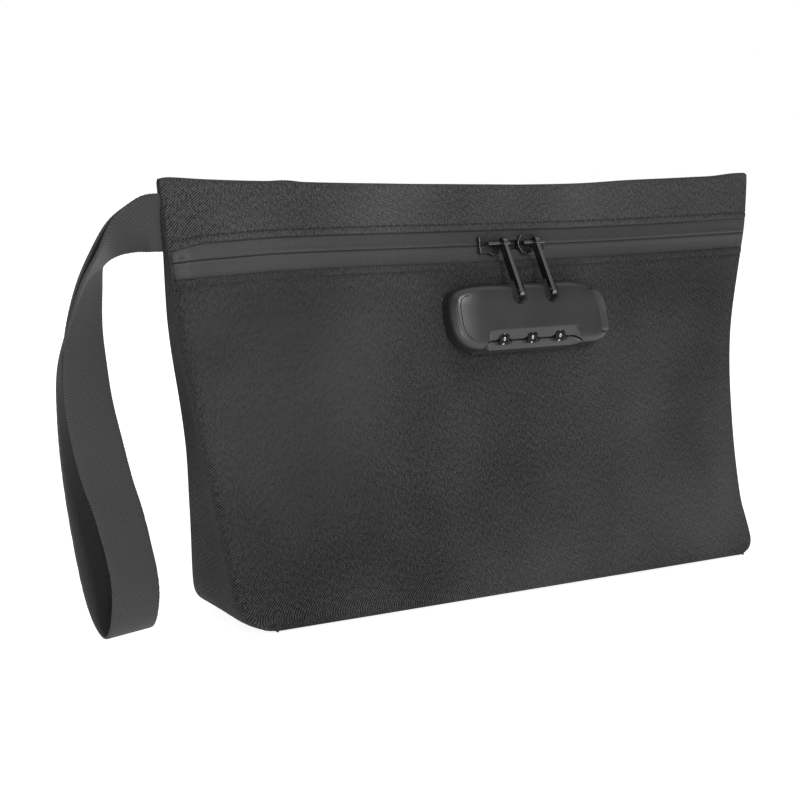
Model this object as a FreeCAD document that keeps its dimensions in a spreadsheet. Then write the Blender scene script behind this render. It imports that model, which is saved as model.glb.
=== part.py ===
"""Locking cash deposit bag: a wedge-shaped fabric pouch with a two-slider zip,
a three-dial combination lock that traps both zip pulls, and a webbing wrist strap.

Row frame: X to the bag's right, Y towards its back, Z up. The origin is the centre
of the base, on the surface that the bag stands on. Millimetres throughout.

Most pieces lie on the front panel, which leans back. They are drawn in the panel's own
frame: x along the bag, y up the panel (so y is minus the depth below the top edge) and
z straight out of the panel, with z = 0 on its outer face.
"""
import FreeCAD, Part
import math
import os

import Sketcher

from FreeCAD import Placement, Rotation, Vector

DOC = FreeCAD.newDocument("deposit_bag")
SHEET = DOC.addObject("Spreadsheet::Sheet", "Sizes")

DRIVING = {
    # the pouch
    "top_width": 280.0, "base_width": 248.0, "height": 163.0, "base_depth": 50.0,
    "front_lean": 11.9, "top_gap": 4.0, "cloth": 1.0, "foam": 2.0, "lining": 0.4,
    "header_depth": 22.0, "panel_top": 34.5, "slit_depth": 28.0, "seam_margin": 4.0,
    # the zip
    "tape_width": 13.0, "tape_thick": 0.8, "tape_sink": 1.1, "zip_length": 262.0,
    "slit_gap": 1.4, "coil_width": 1.1, "coil_thick": 1.5,
    "slider_long": 12.6, "slider_wide": 9.0, "slider_plate": 1.3,
    "left_nose": 5.2, "right_nose": 11.2, "bail_radius": 0.8, "bail_lift": 3.0,
    # the pulls
    "pull_left_x": 2.0, "pull_right_x": 17.6, "pull_thick": 1.8, "pull_deep": 3.8,
    "pull_long": 23.7, "pull_step": 16.0, "tongue_deep": 2.2, "pull_angle": 20.2,
    # the lock
    "lock_centre": 9.1, "lock_top": 44.6, "lock_width": 73.8, "lock_height": 25.7,
    "lock_thick": 9.5, "lock_base_thick": 1.6, "lock_corner": 6, "lock_wall": 1.6,
    "notch_width": 5.5, "notch_depth": 7.9, "notch_floor": 4.6, "screw_reach": 26.8,
    "dial_pitch": 13.5, "dial_centre": 7.5, "dial_radius": 4.1, "dial_width": 4.4,
    "axle_depth": 65.0, "axle_lift": 4.6, "axle_radius": 1.5,
    # the wrist strap
    "strap_width": 20.5, "strap_thick": 1.3,
}


class Size:
    """A length with its value and the spreadsheet formula that gives it."""

    def __init__(self, value, text=None):
        self.value = float(value)
        self.text = repr(float(value)) if text is None else text

    def _with(self, other, sign, value):
        other = other if isinstance(other, Size) else Size(other)
        return Size(value(self.value, other.value), f"({self.text} {sign} {other.text})")

    def __add__(self, other):
        return self._with(other, "+", lambda a, b: a + b)

    def __sub__(self, other):
        return self._with(other, "-", lambda a, b: a - b)

    def __mul__(self, other):
        return self._with(other, "*", lambda a, b: a * b)

    def __truediv__(self, other):
        return self._with(other, "/", lambda a, b: a / b)

    def __neg__(self):
        return Size(-self.value, f"(-{self.text})")

    __radd__ = __add__
    __rmul__ = __mul__

    def __rsub__(self, other):
        return Size(other) - self


def trig(name, angle):
    """sin, cos or tan of an angle in degrees, as a Size."""
    return Size(getattr(math, name)(math.radians(angle.value)), f"{name}({angle.text} * 1 deg)")


def fill_sheet():
    sizes = {}
    for row, (alias, value) in enumerate(DRIVING.items(), start=1):
        SHEET.set(f"A{row}", alias)
        SHEET.set(f"B{row}", str(value))
        SHEET.setAlias(f"B{row}", alias)
        sizes[alias] = Size(value, f"Sizes.{alias}")
    DOC.recompute()
    return sizes


D = fill_sheet()
PARTS = []

TOP_Y = trig("tan", D["front_lean"]) * D["height"] - D["base_depth"] / 2
BACK_LEAN = math.degrees(
    math.atan((D["base_depth"].value / 2 - TOP_Y.value - 2) / D["height"].value)
)
PANEL_BOTTOM = (D["height"] - 1.6) / trig("cos", D["front_lean"])
NARROWING = (D["top_width"] - D["base_width"]) / D["height"]


def bind(thing, path, size):
    thing.setExpression(path, size.text)


def keep(thing, label):
    """Names a finished sub-part. Its label is its file's and node's name."""
    thing.Label = label
    PARTS.append(thing)
    return thing


def place(thing, x=None, y=None, z=None):
    for axis, size in (("x", x), ("y", y), ("z", z)):
        if size is not None:
            bind(thing, f"Placement.Base.{axis}", size)


def on_front(thing):
    """Gives a sub-part the front panel's frame."""
    thing.Placement = Placement(Vector(0, 0, 0), Rotation(Vector(1, 0, 0), 90 - D["front_lean"].value))
    bind(thing, "Placement.Rotation.Angle", 90 - D["front_lean"])
    place(thing, y=TOP_Y - D["top_gap"] / 2, z=D["height"])
    return thing


def on_back(thing):
    """Gives a sub-part the back panel's frame, whose z points into the bag."""
    thing.Placement = Placement(
        Vector(0, TOP_Y.value + 2, D["height"].value), Rotation(Vector(1, 0, 0), 90 + BACK_LEAN)
    )
    place(thing, y=TOP_Y + D["top_gap"] / 2, z=D["height"])
    return thing


def new_body(name):
    return DOC.addObject("PartDesign::Body", name)


def origin_plane(body, role):
    return next(f for f in body.Origin.OriginFeatures if f.Role == role)


def new_sketch(body, name, plane="XY_Plane", lift=None):
    """A sketch on one of the body's own planes, moved along the plane's normal by lift."""
    sketch = body.newObject("Sketcher::SketchObject", name)
    sketch.AttachmentSupport = (origin_plane(body, plane), [""])
    sketch.MapMode = "FlatFace"
    if lift is not None:
        sketch.AttachmentOffset = Placement(Vector(0, 0, lift.value), Rotation())
        bind(sketch, "AttachmentOffset.Base.z", lift)
    return sketch


def pin_point(sketch, curve, end, x, y, name):
    """Ties a sketch point to the sketch's origin at (x, y), through the sheet."""
    for kind, size, tag in (("DistanceX", x, "x"), ("DistanceY", y, "y")):
        size = size if isinstance(size, Size) else Size(size)
        if abs(size.value) < 1e-9:
            level = "Vertical" if tag == "x" else "Horizontal"
            sketch.addConstraint(Sketcher.Constraint(level, -1, 1, curve, end))
            continue
        ends = (-1, 1, curve, end) if size.value > 0 else (curve, end, -1, 1)
        size = size if size.value > 0 else -size
        index = sketch.addConstraint(Sketcher.Constraint(kind, *ends, size.value))
        sketch.renameConstraint(index, name + tag)
        bind(sketch, f"Constraints.{name}{tag}", size)


def number(size):
    return size.value if isinstance(size, Size) else float(size)


def polygon(sketch, points):
    """A closed outline of straight lines, each corner tied to the sheet."""
    corners = [Vector(number(x), number(y), 0) for x, y in points]
    first = sketch.GeometryCount
    count = len(corners)
    for i in range(count):
        sketch.addGeometry(Part.LineSegment(corners[i], corners[(i + 1) % count]), False)
    for i in range(count):
        sketch.addConstraint(
            Sketcher.Constraint("Coincident", first + i, 2, first + (i + 1) % count, 1)
        )
    for i, (x, y) in enumerate(points):
        pin_point(sketch, first + i, 1, x, y, f"p{first + i}")


def circle(sketch, x, y, radius):
    index = sketch.addGeometry(
        Part.Circle(Vector(number(x), number(y), 0), Vector(0, 0, 1), number(radius)), False
    )
    pin_point(sketch, index, 3, x, y, f"c{index}")
    tie = sketch.addConstraint(Sketcher.Constraint("Radius", index, number(radius)))
    if isinstance(radius, Size):
        sketch.renameConstraint(tie, f"r{index}")
        bind(sketch, f"Constraints.r{index}", radius)


def rectangle(sketch, x_low, x_high, y_low, y_high):
    polygon(sketch, [(x_low, y_low), (x_high, y_low), (x_high, y_high), (x_low, y_high)])


def pad(body, sketch, length, midplane=False):
    feature = body.newObject("PartDesign::Pad", sketch.Name + "_pad")
    feature.Profile = sketch
    feature.Length = number(length)
    if isinstance(length, Size):
        bind(feature, "Length", length)
    if midplane:
        feature.SideType = "Symmetric"
    DOC.recompute()
    return feature


def pocket(body, sketch, length=None, up=False, midplane=False):
    """Cuts a sketch out of the body, and stops if the cut removes nothing."""
    DOC.recompute()
    before = body.Shape.Volume
    feature = body.newObject("PartDesign::Pocket", sketch.Name + "_cut")
    feature.Profile = sketch
    feature.Reversed = up
    if length is None:
        feature.Type = "ThroughAll"
    else:
        feature.Length = number(length)
        if isinstance(length, Size):
            bind(feature, "Length", length)
    if midplane:
        feature.SideType = "Symmetric"
    DOC.recompute()
    if not body.Shape.Volume < before - 1e-6:
        raise RuntimeError(f"{feature.Name} cuts nothing")
    return feature


def fillet(body, radius, wanted):
    """Rounds the edges of the body's tip that wanted(edge) picks."""
    DOC.recompute()
    tip = body.Tip
    names = [f"Edge{i}" for i, edge in enumerate(tip.Shape.Edges, start=1) if wanted(edge)]
    feature = body.newObject("PartDesign::Fillet", f"{body.Name}_round{len(body.Group)}")
    feature.Base = (tip, names)
    feature.Radius = number(radius)
    if isinstance(radius, Size):
        bind(feature, "Radius", radius)
    DOC.recompute()
    return feature


# Where the four lock screws stand: x along the bag, and the depth below the top edge.
SCREW_SPOTS = [
    (D["lock_centre"] + side * D["screw_reach"], D["lock_top"] + down)
    for side in (-1, 1)
    for down in (4.9, 20.9)
]
SCREW_RADIUS = 1.2
SCREW_CLEAR = 1.5


def side_at(depth):
    """Half the bag's width at a depth below its top edge."""
    return D["top_width"] / 2 - NARROWING * depth / 2


def panel(label, top, bottom, sink, thick, inset, frame, holes=False, into=-1):
    """A flat layer between two depths below the top edge, as wide as the bag less inset."""
    body = new_body(label)
    lift = sink * into if into < 0 else sink
    sketch = new_sketch(body, label + "_outline", lift=lift if number(sink) else None)
    wide, narrow = side_at(top) - inset, side_at(bottom) - inset
    polygon(sketch, [(-wide, -top), (wide, -top), (narrow, -bottom), (-narrow, -bottom)])
    feature = pad(body, sketch, thick)
    feature.Reversed = into < 0
    if holes:
        cut = new_sketch(body, label + "_holes")
        for x, depth in SCREW_SPOTS:
            circle(cut, x, -depth, SCREW_CLEAR)
        pocket(body, cut, 12, midplane=True)
    frame(body)
    return keep(body, label)


def size_of(value):
    return value if isinstance(value, Size) else Size(value)


def plate(label, outline, low, high):
    """A flat piece with a straight-sided outline, between two heights above the panel."""
    body = new_body(label)
    sketch = new_sketch(body, label + "_outline", lift=size_of(low))
    polygon(sketch, outline)
    pad(body, sketch, size_of(high) - low)
    return on_front(body)


def box_outline(x_low, x_high, top, bottom):
    """A rectangle between two depths below the bag's top edge."""
    top, bottom = size_of(top), size_of(bottom)
    return [(x_low, -bottom), (x_high, -bottom), (x_high, -top), (x_low, -top)]


def rod(label, x_low, x_high, depth, lift, radius):
    """A round bar along x."""
    body = new_body(label)
    sketch = new_sketch(body, label + "_section", "YZ_Plane", size_of(x_low))
    circle(sketch, -size_of(depth), size_of(lift), size_of(radius))
    pad(body, sketch, size_of(x_high) - x_low)
    return on_front(body)


def upright(edge):
    """Is this a straight edge along z?"""
    box = edge.BoundBox
    return len(edge.Vertexes) == 2 and box.XLength < 1e-5 and box.YLength < 1e-5


def at_height(edge, height):
    """Does this edge lie flat at a height above the panel?"""
    box = edge.BoundBox
    return box.ZLength < 1e-4 and abs(box.ZMin - number(height)) < 1e-4


# ---- the pouch ----

def pouch():
    cloth, sink = D["cloth"], D["tape_sink"]
    slit, gap = D["slit_depth"], D["slit_gap"]
    panel("header_panel", Size(1.2), D["header_depth"], Size(0), cloth, 0, on_front)
    panel("front_panel", D["panel_top"], PANEL_BOTTOM, Size(0), cloth, 0, on_front, holes=True)
    upper = slit - gap / 2
    lower = slit + gap / 2
    tape = D["tape_thick"]
    panel("zipper_tape_upper", upper - D["tape_width"], upper, sink, tape, 3.5, on_front)
    panel("zipper_tape_lower", lower, lower + D["tape_width"], sink, tape, 3.5, on_front)
    coil_sink = sink + tape
    ends = D["zip_length"] / 2
    for label, near, far in (
        ("zipper_coil_upper", upper - D["coil_width"], upper),
        ("zipper_coil_lower", lower, lower + D["coil_width"]),
    ):
        outline = box_outline(-ends, ends, near, far)
        keep(plate(label, outline, -coil_sink - D["coil_thick"], -coil_sink), label)
    for side, label in ((-1, "zipper_stop_left"), (1, "zipper_stop_right")):
        near, far = sorted((side * 131.3, side * 133.5))
        outline = box_outline(near, far, slit - 2.4, slit + 2.4)
        stop = plate(label, outline, -coil_sink - D["coil_thick"], -coil_sink)
        keep(stop, label)
    foam_top = lower + D["tape_width"] + 1
    foam_sink = cloth + 0.1
    lining_sink = foam_sink + D["foam"] + 0.1
    low = PANEL_BOTTOM - 4
    margin = D["seam_margin"]
    panel("front_padding", foam_top, low, foam_sink, D["foam"], margin, on_front, holes=True)
    panel("front_lining", foam_top, low, lining_sink, D["lining"], margin, on_front, holes=True)
    bottom = (D["height"] - 1.6) / math.cos(math.radians(BACK_LEAN))
    back_low = bottom - 4
    panel("back_panel", Size(1.2), bottom, Size(0), cloth, 0, on_back, into=1)
    panel("back_padding", Size(22), back_low, foam_sink, D["foam"], margin, on_back, into=1)
    panel("back_lining", Size(22), back_low, lining_sink, D["lining"], margin, on_back, into=1)


def flat_on_floor(label, length, depth, low, high):
    slab = DOC.addObject("Part::Box", label)
    bind(slab, "Length", length)
    bind(slab, "Width", depth)
    bind(slab, "Height", high - low)
    place(slab, x=-length / 2, y=-depth / 2, z=low)
    return keep(slab, label)


def pouch_ends():
    flat_on_floor("base_panel", D["base_width"], D["base_depth"], Size(0), D["cloth"] + 0.2)
    flat_on_floor("base_board", D["base_width"] - 16, D["base_depth"] - 12, Size(1.4), Size(2.9))
    binding = DOC.addObject("Part::Box", "top_edge_binding")
    bind(binding, "Length", D["top_width"])
    bind(binding, "Width", D["top_gap"])
    bind(binding, "Height", Size(1.0))
    place(binding, x=-D["top_width"] / 2, y=TOP_Y - D["top_gap"] / 2, z=D["height"] - 1.0)
    keep(binding, "top_edge_binding")
    lean = math.degrees(math.atan(NARROWING.value / 2))
    front = trig("tan", D["front_lean"])
    back = math.tan(math.radians(BACK_LEAN))
    top, low = Size(3), D["height"] - 1.6
    inner = D["cloth"] + 0.25
    for side, label in ((-1, "left_gusset"), (1, "right_gusset")):
        body = new_body(label)
        sketch = new_sketch(body, label + "_outline", "YZ_Plane")
        front_y = TOP_Y - D["top_gap"] / 2 + inner
        back_y = TOP_Y + D["top_gap"] / 2 - inner
        polygon(sketch, [
            (front_y - front * top, -top), (front_y - front * low, -low),
            (back_y + back * low, -low), (back_y + back * top, -top),
        ])
        pad(body, sketch, 1.0)
        body.Group[-1].Reversed = side > 0
        body.Placement = Placement(Vector(0, 0, 0), Rotation(Vector(0, 1, 0), side * lean))
        place(body, x=side * (D["top_width"] / 2 - 0.2), z=D["height"])
        keep(body, label)


# ---- the zip's sliders and pulls ----

def slider(label, nose, way):
    """A slider body: two plates joined by the post that parts the coils. Way is +1 where the
    nose points to the bag's right."""
    slit = D["slit_depth"]
    half = D["slider_wide"] / 2
    body = new_body(label)

    def at(back):
        return nose - way * back

    plate_low = -D["tape_sink"] + 0.05
    flank = [
        (Size(0), Size(0.9)), (Size(1.6), Size(3.6)), (Size(3.6), half), (Size(6.5), half - 0.2),
        (Size(8.6), half - 1.4), (D["slider_long"], half - 1.1),
    ]
    outline = [(at(back), -slit - out) for back, out in flank]
    outline += [(at(back), -slit + out) for back, out in reversed(flank)]
    top = new_sketch(body, label + "_top", lift=plate_low)
    polygon(top, outline)
    pad(body, top, D["slider_plate"])
    under = -D["tape_sink"] - D["tape_thick"] - D["coil_thick"] - 0.35
    post = new_sketch(body, label + "_post", lift=under)
    edges = sorted((at(Size(0.9)), at(Size(3.3))), key=number)
    rectangle(post, *edges, -slit - 0.55, -slit + 0.55)
    pad(body, post, plate_low - under)
    bottom = new_sketch(body, label + "_bottom", lift=under - 1.2)
    polygon(bottom, outline)
    pad(body, bottom, 1.2)
    fillet(body, 0.3, lambda edge: at_height(edge, plate_low + D["slider_plate"]))
    on_front(body)
    return keep(body, label)


def bail(label, x_low, x_high):
    """The low bridge on a slider that the pull hangs from."""
    slit, lift, radius = D["slit_depth"], D["bail_lift"], D["bail_radius"]
    body = new_body(label)
    bar = new_sketch(body, label + "_bar", "YZ_Plane", x_low)
    circle(bar, -slit, lift, radius)
    pad(body, bar, x_high - x_low)
    foot_low = -D["tape_sink"] + 0.05 + D["slider_plate"]
    feet = new_sketch(body, label + "_feet", lift=foot_low)
    rectangle(feet, x_low, x_low + 0.8, -slit - radius, -slit + radius)
    rectangle(feet, x_high - 0.8, x_high, -slit - radius, -slit + radius)
    pad(body, feet, lift - foot_low)
    on_front(body)
    return keep(body, label)


def panel_point(depth, lift):
    """Row-frame y and z of a point that is depth below the top edge and lift out of the panel."""
    sine, cosine = trig("sin", D["front_lean"]), trig("cos", D["front_lean"])
    y = TOP_Y - D["top_gap"] / 2 - sine * depth - cosine * lift
    z = D["height"] - cosine * depth + sine * lift
    return y, z


def pull(label, x):
    """A flat bar that stands edge-on, with an eye at its top and a drilled tongue at its tip."""
    half = D["pull_deep"] / 2
    tongue_back = half - D["tongue_deep"]
    long, step = D["pull_long"], D["pull_step"]
    body = new_body(label)
    side = new_sketch(body, label + "_side", "YZ_Plane")
    outline = [
        (Size(0), -half), (Size(0), half), (-long + 0.8, half), (-long, half - 0.8),
        (-long, tongue_back), (-step, tongue_back), (-step, -half),
    ]
    polygon(side, outline)
    pad(body, side, D["pull_thick"], midplane=True)
    eye = new_sketch(body, label + "_eye", "YZ_Plane")
    circle(eye, 0, 0, half + 0.3)
    pad(body, eye, D["pull_thick"], midplane=True)
    holes = new_sketch(body, label + "_holes", "YZ_Plane")
    circle(holes, 0, 0, D["bail_radius"] + 0.08)
    circle(holes, -21.5, 0.8, 0.7)
    pocket(body, holes, 6, midplane=True)
    fillet(body, 0.35, lambda edge: edge.BoundBox.YLength > 5)
    body.Placement = Placement(Vector(0, 0, 0), Rotation(Vector(1, 0, 0), 1))
    bind(body, "Placement.Rotation.Angle", 90 - D["front_lean"] - D["pull_angle"])
    y, z = panel_point(D["slit_depth"], D["bail_lift"])
    place(body, x=x, y=y, z=z)
    return keep(body, label)


def zip_hardware():
    slider("slider_left_body", D["left_nose"], 1)
    slider("slider_right_body", D["right_nose"], -1)
    bail("slider_left_bail", D["left_nose"] - 10.5, D["left_nose"] - 0.3)
    bail("slider_right_bail", D["right_nose"] + 0.6, D["right_nose"] + 10.6)
    pull("pull_left_bar", D["pull_left_x"])
    pull("pull_right_bar", D["pull_right_x"])


# ---- the lock ----

LEFT = D["lock_centre"] - D["lock_width"] / 2
RIGHT = D["lock_centre"] + D["lock_width"] / 2
TOP = D["lock_top"]
BOTTOM = D["lock_top"] + D["lock_height"]
BASE_LOW = Size(0.1)
BASE_HIGH = D["lock_base_thick"] + 0.1
PULLS = (D["pull_left_x"], D["pull_right_x"])
NOTCHES = [x + 0.9 for x in PULLS]
DIALS = [D["dial_centre"] + D["dial_pitch"] * step for step in (-1, 0, 1)]
TAB_TOP, TAB_BOTTOM = TOP + 3.9, BOTTOM - 4.3
DIAL_SLOT = D["dial_width"] / 2 + 0.3


# The lock's outline, clockwise from the left end: its corners are flattened ovals, and the
# upper right one is the largest. The upright edges are rounded afterwards.
LOCK_OUTLINE = [
    (LEFT, -TOP - 13.4), (LEFT, -TOP - 4.9), (LEFT + 3.0, -TOP - 1.3), (LEFT + 10.8, -TOP),
    (RIGHT - 15.0, -TOP), (RIGHT - 7.0, -TOP - 2.0), (RIGHT - 2.4, -TOP - 6.0),
    (RIGHT - 0.3, -TOP - 11.4), (RIGHT, -BOTTOM + 5.5), (RIGHT - 1.7, -BOTTOM + 2.1),
    (RIGHT - 6.0, -BOTTOM), (LEFT + 9.3, -BOTTOM), (LEFT + 4.2, -BOTTOM + 2.2),
    (LEFT + 1.0, -BOTTOM + 6.3),
]


def lock_base():
    body = plate("lock_base", LOCK_OUTLINE, BASE_LOW, BASE_HIGH)
    fillet(body, D["lock_corner"], upright)
    lip = new_sketch(body, "lip", lift=BASE_LOW)
    rectangle(lip, LEFT + 10, RIGHT - 15, -BOTTOM - 0.9, -BOTTOM + 3)
    pad(body, lip, D["lock_base_thick"])
    bosses = new_sketch(body, "bosses", lift=BASE_HIGH)
    for x, depth in SCREW_SPOTS:
        circle(bosses, x, -depth, 2.5)
    pad(body, bosses, 4.0)
    holes = new_sketch(body, "screw_holes")
    for x, depth in SCREW_SPOTS:
        circle(holes, x, -depth, SCREW_RADIUS + 0.05)
    pocket(body, holes, 20, midplane=True)
    windows = new_sketch(body, "dial_windows")
    for x in DIALS:
        rectangle(windows, x - DIAL_SLOT, x + DIAL_SLOT, -D["axle_depth"] - 4.5, -D["axle_depth"] + 4.5)
    pocket(body, windows, 20, midplane=True)
    return keep(body, "lock_base")


def lock_cover():
    face = D["lock_thick"]
    low = BASE_HIGH + 0.02
    body = plate("lock_cover", LOCK_OUTLINE, low, face)
    fillet(body, D["lock_corner"], upright)
    fillet(body, 2.8, lambda edge: at_height(edge, face))
    wall = D["lock_wall"]
    dial_top = D["axle_depth"] - 5.0
    hollow = new_sketch(body, "hollow", lift=low)
    rectangle(hollow, LEFT + wall, RIGHT - wall, -dial_top, -TOP - wall)
    pocket(body, hollow, face - wall - low, up=True)
    for index, (x, depth) in enumerate(SCREW_SPOTS):
        if number(depth) > number(dial_top):
            boss = new_sketch(body, f"boss_room_{index}", lift=low)
            circle(boss, x, -depth, 2.8)
            pocket(body, boss, 4.3, up=True)
    notches = new_sketch(body, "notches", lift=D["notch_floor"])
    half = D["notch_width"] / 2
    for x in NOTCHES:
        rectangle(notches, x - half, x + half, -TOP - D["notch_depth"] + half, -TOP + 1)
    pocket(body, notches, up=True)
    for index, x in enumerate(NOTCHES):
        end = new_sketch(body, f"notch_end_{index}", lift=D["notch_floor"])
        circle(end, x, -TOP - D["notch_depth"] + half, half)
        pocket(body, end, up=True)
    scoop = new_sketch(body, "scoop", "YZ_Plane", D["dial_centre"] - 25)
    polygon(scoop, [
        (-TOP - 18.8, face + 0.5), (-TOP - 18.8, face), (-TOP - 21.9, face - 1.6),
        (-TOP - 21.9, face - 2.7), (-TOP - 22.3, face - 2.7), (-TOP - 22.3, face - 2.0),
        (-BOTTOM - 1, face - 5.3), (-BOTTOM - 1, face + 0.5),
    ])
    pocket(body, scoop, 49.5, up=True)
    rooms = new_sketch(body, "dial_rooms", lift=low)
    slots = new_sketch(body, "dial_slots", lift=low)
    for x in DIALS:
        rectangle(rooms, x - DIAL_SLOT, x + DIAL_SLOT, -D["axle_depth"] - 4.5, -D["axle_depth"] + 5.2)
        rectangle(slots, x - DIAL_SLOT, x + DIAL_SLOT, -D["axle_depth"] - 4.5, -D["axle_depth"] + 1.6)
    pocket(body, rooms, face - 1.0 - low, up=True)
    pocket(body, slots, 20, up=True)
    seat = new_sketch(body, "axle_seat", "YZ_Plane", DIALS[0] - 6.1)
    rectangle(seat, -D["axle_depth"] - D["axle_radius"] - 0.03, -D["axle_depth"] + D["axle_radius"] + 0.03,
              Size(1.5), D["axle_lift"])
    pocket(body, seat, D["dial_pitch"] * 2 + 12.2, up=True)
    bore = new_sketch(body, "axle_bore", "YZ_Plane", DIALS[0] - 6.1)
    circle(bore, -D["axle_depth"], D["axle_lift"], D["axle_radius"] + 0.03)
    pocket(body, bore, D["dial_pitch"] * 2 + 12.2, up=True)
    tab = new_sketch(body, "tab_room", lift=low)
    rectangle(tab, RIGHT - 7.3, RIGHT + 1, -TAB_BOTTOM, -TAB_TOP)
    pocket(body, tab, face - wall - low, up=True)
    window = new_sketch(body, "tab_window", lift=low)
    rectangle(window, RIGHT - 4.5, RIGHT + 1, -TAB_BOTTOM, -TAB_TOP)
    pocket(body, window, 20, up=True)
    groove = new_sketch(body, "end_groove", lift=face - 2.6)
    rectangle(groove, LEFT + 2.3, LEFT + 2.8, -TAB_BOTTOM, -TAB_TOP)
    pocket(body, groove, 6, up=True)
    pin_hole = new_sketch(body, "reset_hole", "YZ_Plane", LEFT - 1)
    circle(pin_hole, -TOP - 12.4, Size(4.5), 1.06)
    pocket(body, pin_hole, 4, up=True)
    return keep(body, "lock_cover")


def lock_inside():
    backing = box_outline(LEFT + 4, RIGHT - 4, TOP + 1.5, BOTTOM - 1.5)
    behind = D["cloth"] + D["foam"] + D["lining"] + 0.3
    body = plate("lock_backing_plate", backing, -behind - 1.2, -behind)
    holes = new_sketch(body, "backing_holes", lift=-behind - 1.2)
    for x, depth in SCREW_SPOTS:
        circle(holes, x, -depth, SCREW_CLEAR)
    pocket(body, holes, 3, up=True)
    keep(body, "lock_backing_plate")
    screws = []
    for index, (x, depth) in enumerate(SCREW_SPOTS):
        screw = new_body(f"screw_{index}")
        head = new_sketch(screw, f"screw_head_{index}", lift=-behind - 2.4)
        circle(head, x, -depth, 2.5)
        pad(screw, head, 1.2)
        shank = new_sketch(screw, f"screw_shank_{index}", lift=-behind - 1.2)
        circle(shank, x, -depth, SCREW_RADIUS)
        pad(screw, shank, behind + 6.2)
        screws.append(on_front(screw))
    group = DOC.addObject("Part::Compound", "lock_screws")
    group.Links = screws
    keep(group, "lock_screws")
    depth, lift = D["axle_depth"], D["axle_lift"]
    keep(rod("dial_axle", DIALS[0] - 6.0, DIALS[2] + 6.0, depth, lift, D["axle_radius"]), "dial_axle")
    back, root, tip = -TOP - 11.8, -TOP - 14.0, -TOP - 16.2
    first, last = DIALS[0] - 3, DIALS[2] + 3
    leaf = [(first, root), (first, back), (last, back), (last, root)]
    for x in reversed(DIALS):
        leaf += [(x + 1.5, root), (x + 1.5, tip), (x - 1.5, tip), (x - 1.5, root)]
    keep(plate("dial_detent_spring", leaf, BASE_HIGH + 0.02, BASE_HIGH + 0.42), "dial_detent_spring")
    keep(rod("reset_pin", LEFT + 0.3, LEFT + 6.2, TOP + 12.4, Size(4.5), Size(1.0)), "reset_pin")


def dial(label, x):
    """A combination wheel with ten finger notches round its rim."""
    depth, lift, radius = D["axle_depth"], D["axle_lift"], D["dial_radius"]
    body = new_body(label)
    wheel = new_sketch(body, label + "_wheel", "YZ_Plane", -D["dial_width"] / 2)
    circle(wheel, 0, 0, radius)
    circle(wheel, 0, 0, D["axle_radius"] + 0.05)
    pad(body, wheel, D["dial_width"])
    for index in range(10):
        angle = math.radians(36 * index + 18)
        notch = new_sketch(body, f"{label}_notch_{index}", "YZ_Plane", -D["dial_width"] / 2)
        reach = radius + 0.35
        circle(notch, reach * math.cos(angle), reach * math.sin(angle), 0.6)
        pocket(body, notch, 9, up=True)
    on_front(body)
    y, z = panel_point(depth, lift)
    place(body, x=x, y=y, z=z)
    return keep(body, label)


def latch():
    """The bar whose two pins enter the pulls' tongues, and the thumb tab on its end."""
    outline = box_outline(PULLS[0] - 5.9, RIGHT - 4.4, TOP + 8.7, TOP + 11.4)
    body = plate("latch_bar", outline, Size(5.2), Size(7.4))
    arms = new_sketch(body, "latch_arms", lift=Size(6.2))
    for x in PULLS:
        rectangle(arms, x - 5.9, x - 4.3, -TOP - 9.4, -TOP - 3.4)
    pad(body, arms, 1.55)
    for index, x in enumerate(PULLS):
        section = new_sketch(body, f"latch_pin_{index}", "YZ_Plane", x - 4.4)
        circle(section, -TOP - 4.5, Size(7.22), 0.55)
        pad(body, section, 4.15 - D["pull_thick"] / 2)
    keep(body, "latch_bar")
    tab_face = D["lock_thick"] - 2.05
    outline = box_outline(RIGHT - 4.3, RIGHT - 0.1, TAB_TOP + 0.3, TAB_BOTTOM - 0.3)
    tab = plate("release_tab", outline, BASE_HIGH + 0.15, tab_face)
    outer = number(RIGHT) - 1
    fillet(tab, 0.8, lambda edge: at_height(edge, tab_face) and edge.BoundBox.XMin > outer)
    ribs = new_sketch(tab, "tab_ribs", lift=tab_face)
    for step in range(3):
        left = RIGHT - 3.7 + step * 0.95
        rectangle(ribs, left, left + 0.45, -TAB_BOTTOM + 1.2, -TAB_TOP - 1.2)
    pad(tab, ribs, 0.25)
    keep(tab, "release_tab")
    spring = DOC.addObject("Part::Feature", "latch_spring")
    coils, length, radius, wire = 7, 9.0, 1.4, 0.2
    helix = Part.makeHelix(length / coils, length, radius)
    section = Part.Wire(Part.makeCircle(wire, Vector(radius, 0, 0), Vector(0, 1, 0)))
    spring.Shape = Part.Wire(helix).makePipeShell([section], True, True)
    y, z = panel_point(TOP + 12.9, Size(4.6))
    spring.Placement = Placement(
        Vector(RIGHT.value - 14.2, y.value, z.value), Rotation(Vector(0, 1, 0), 90)
    )
    keep(spring, "latch_spring")


def lock():
    lock_base()
    lock_cover()
    lock_inside()
    for index, x in enumerate(DIALS, start=1):
        dial(f"dial_{index}", x)
    latch()


# ---- the wrist strap ----

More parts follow.
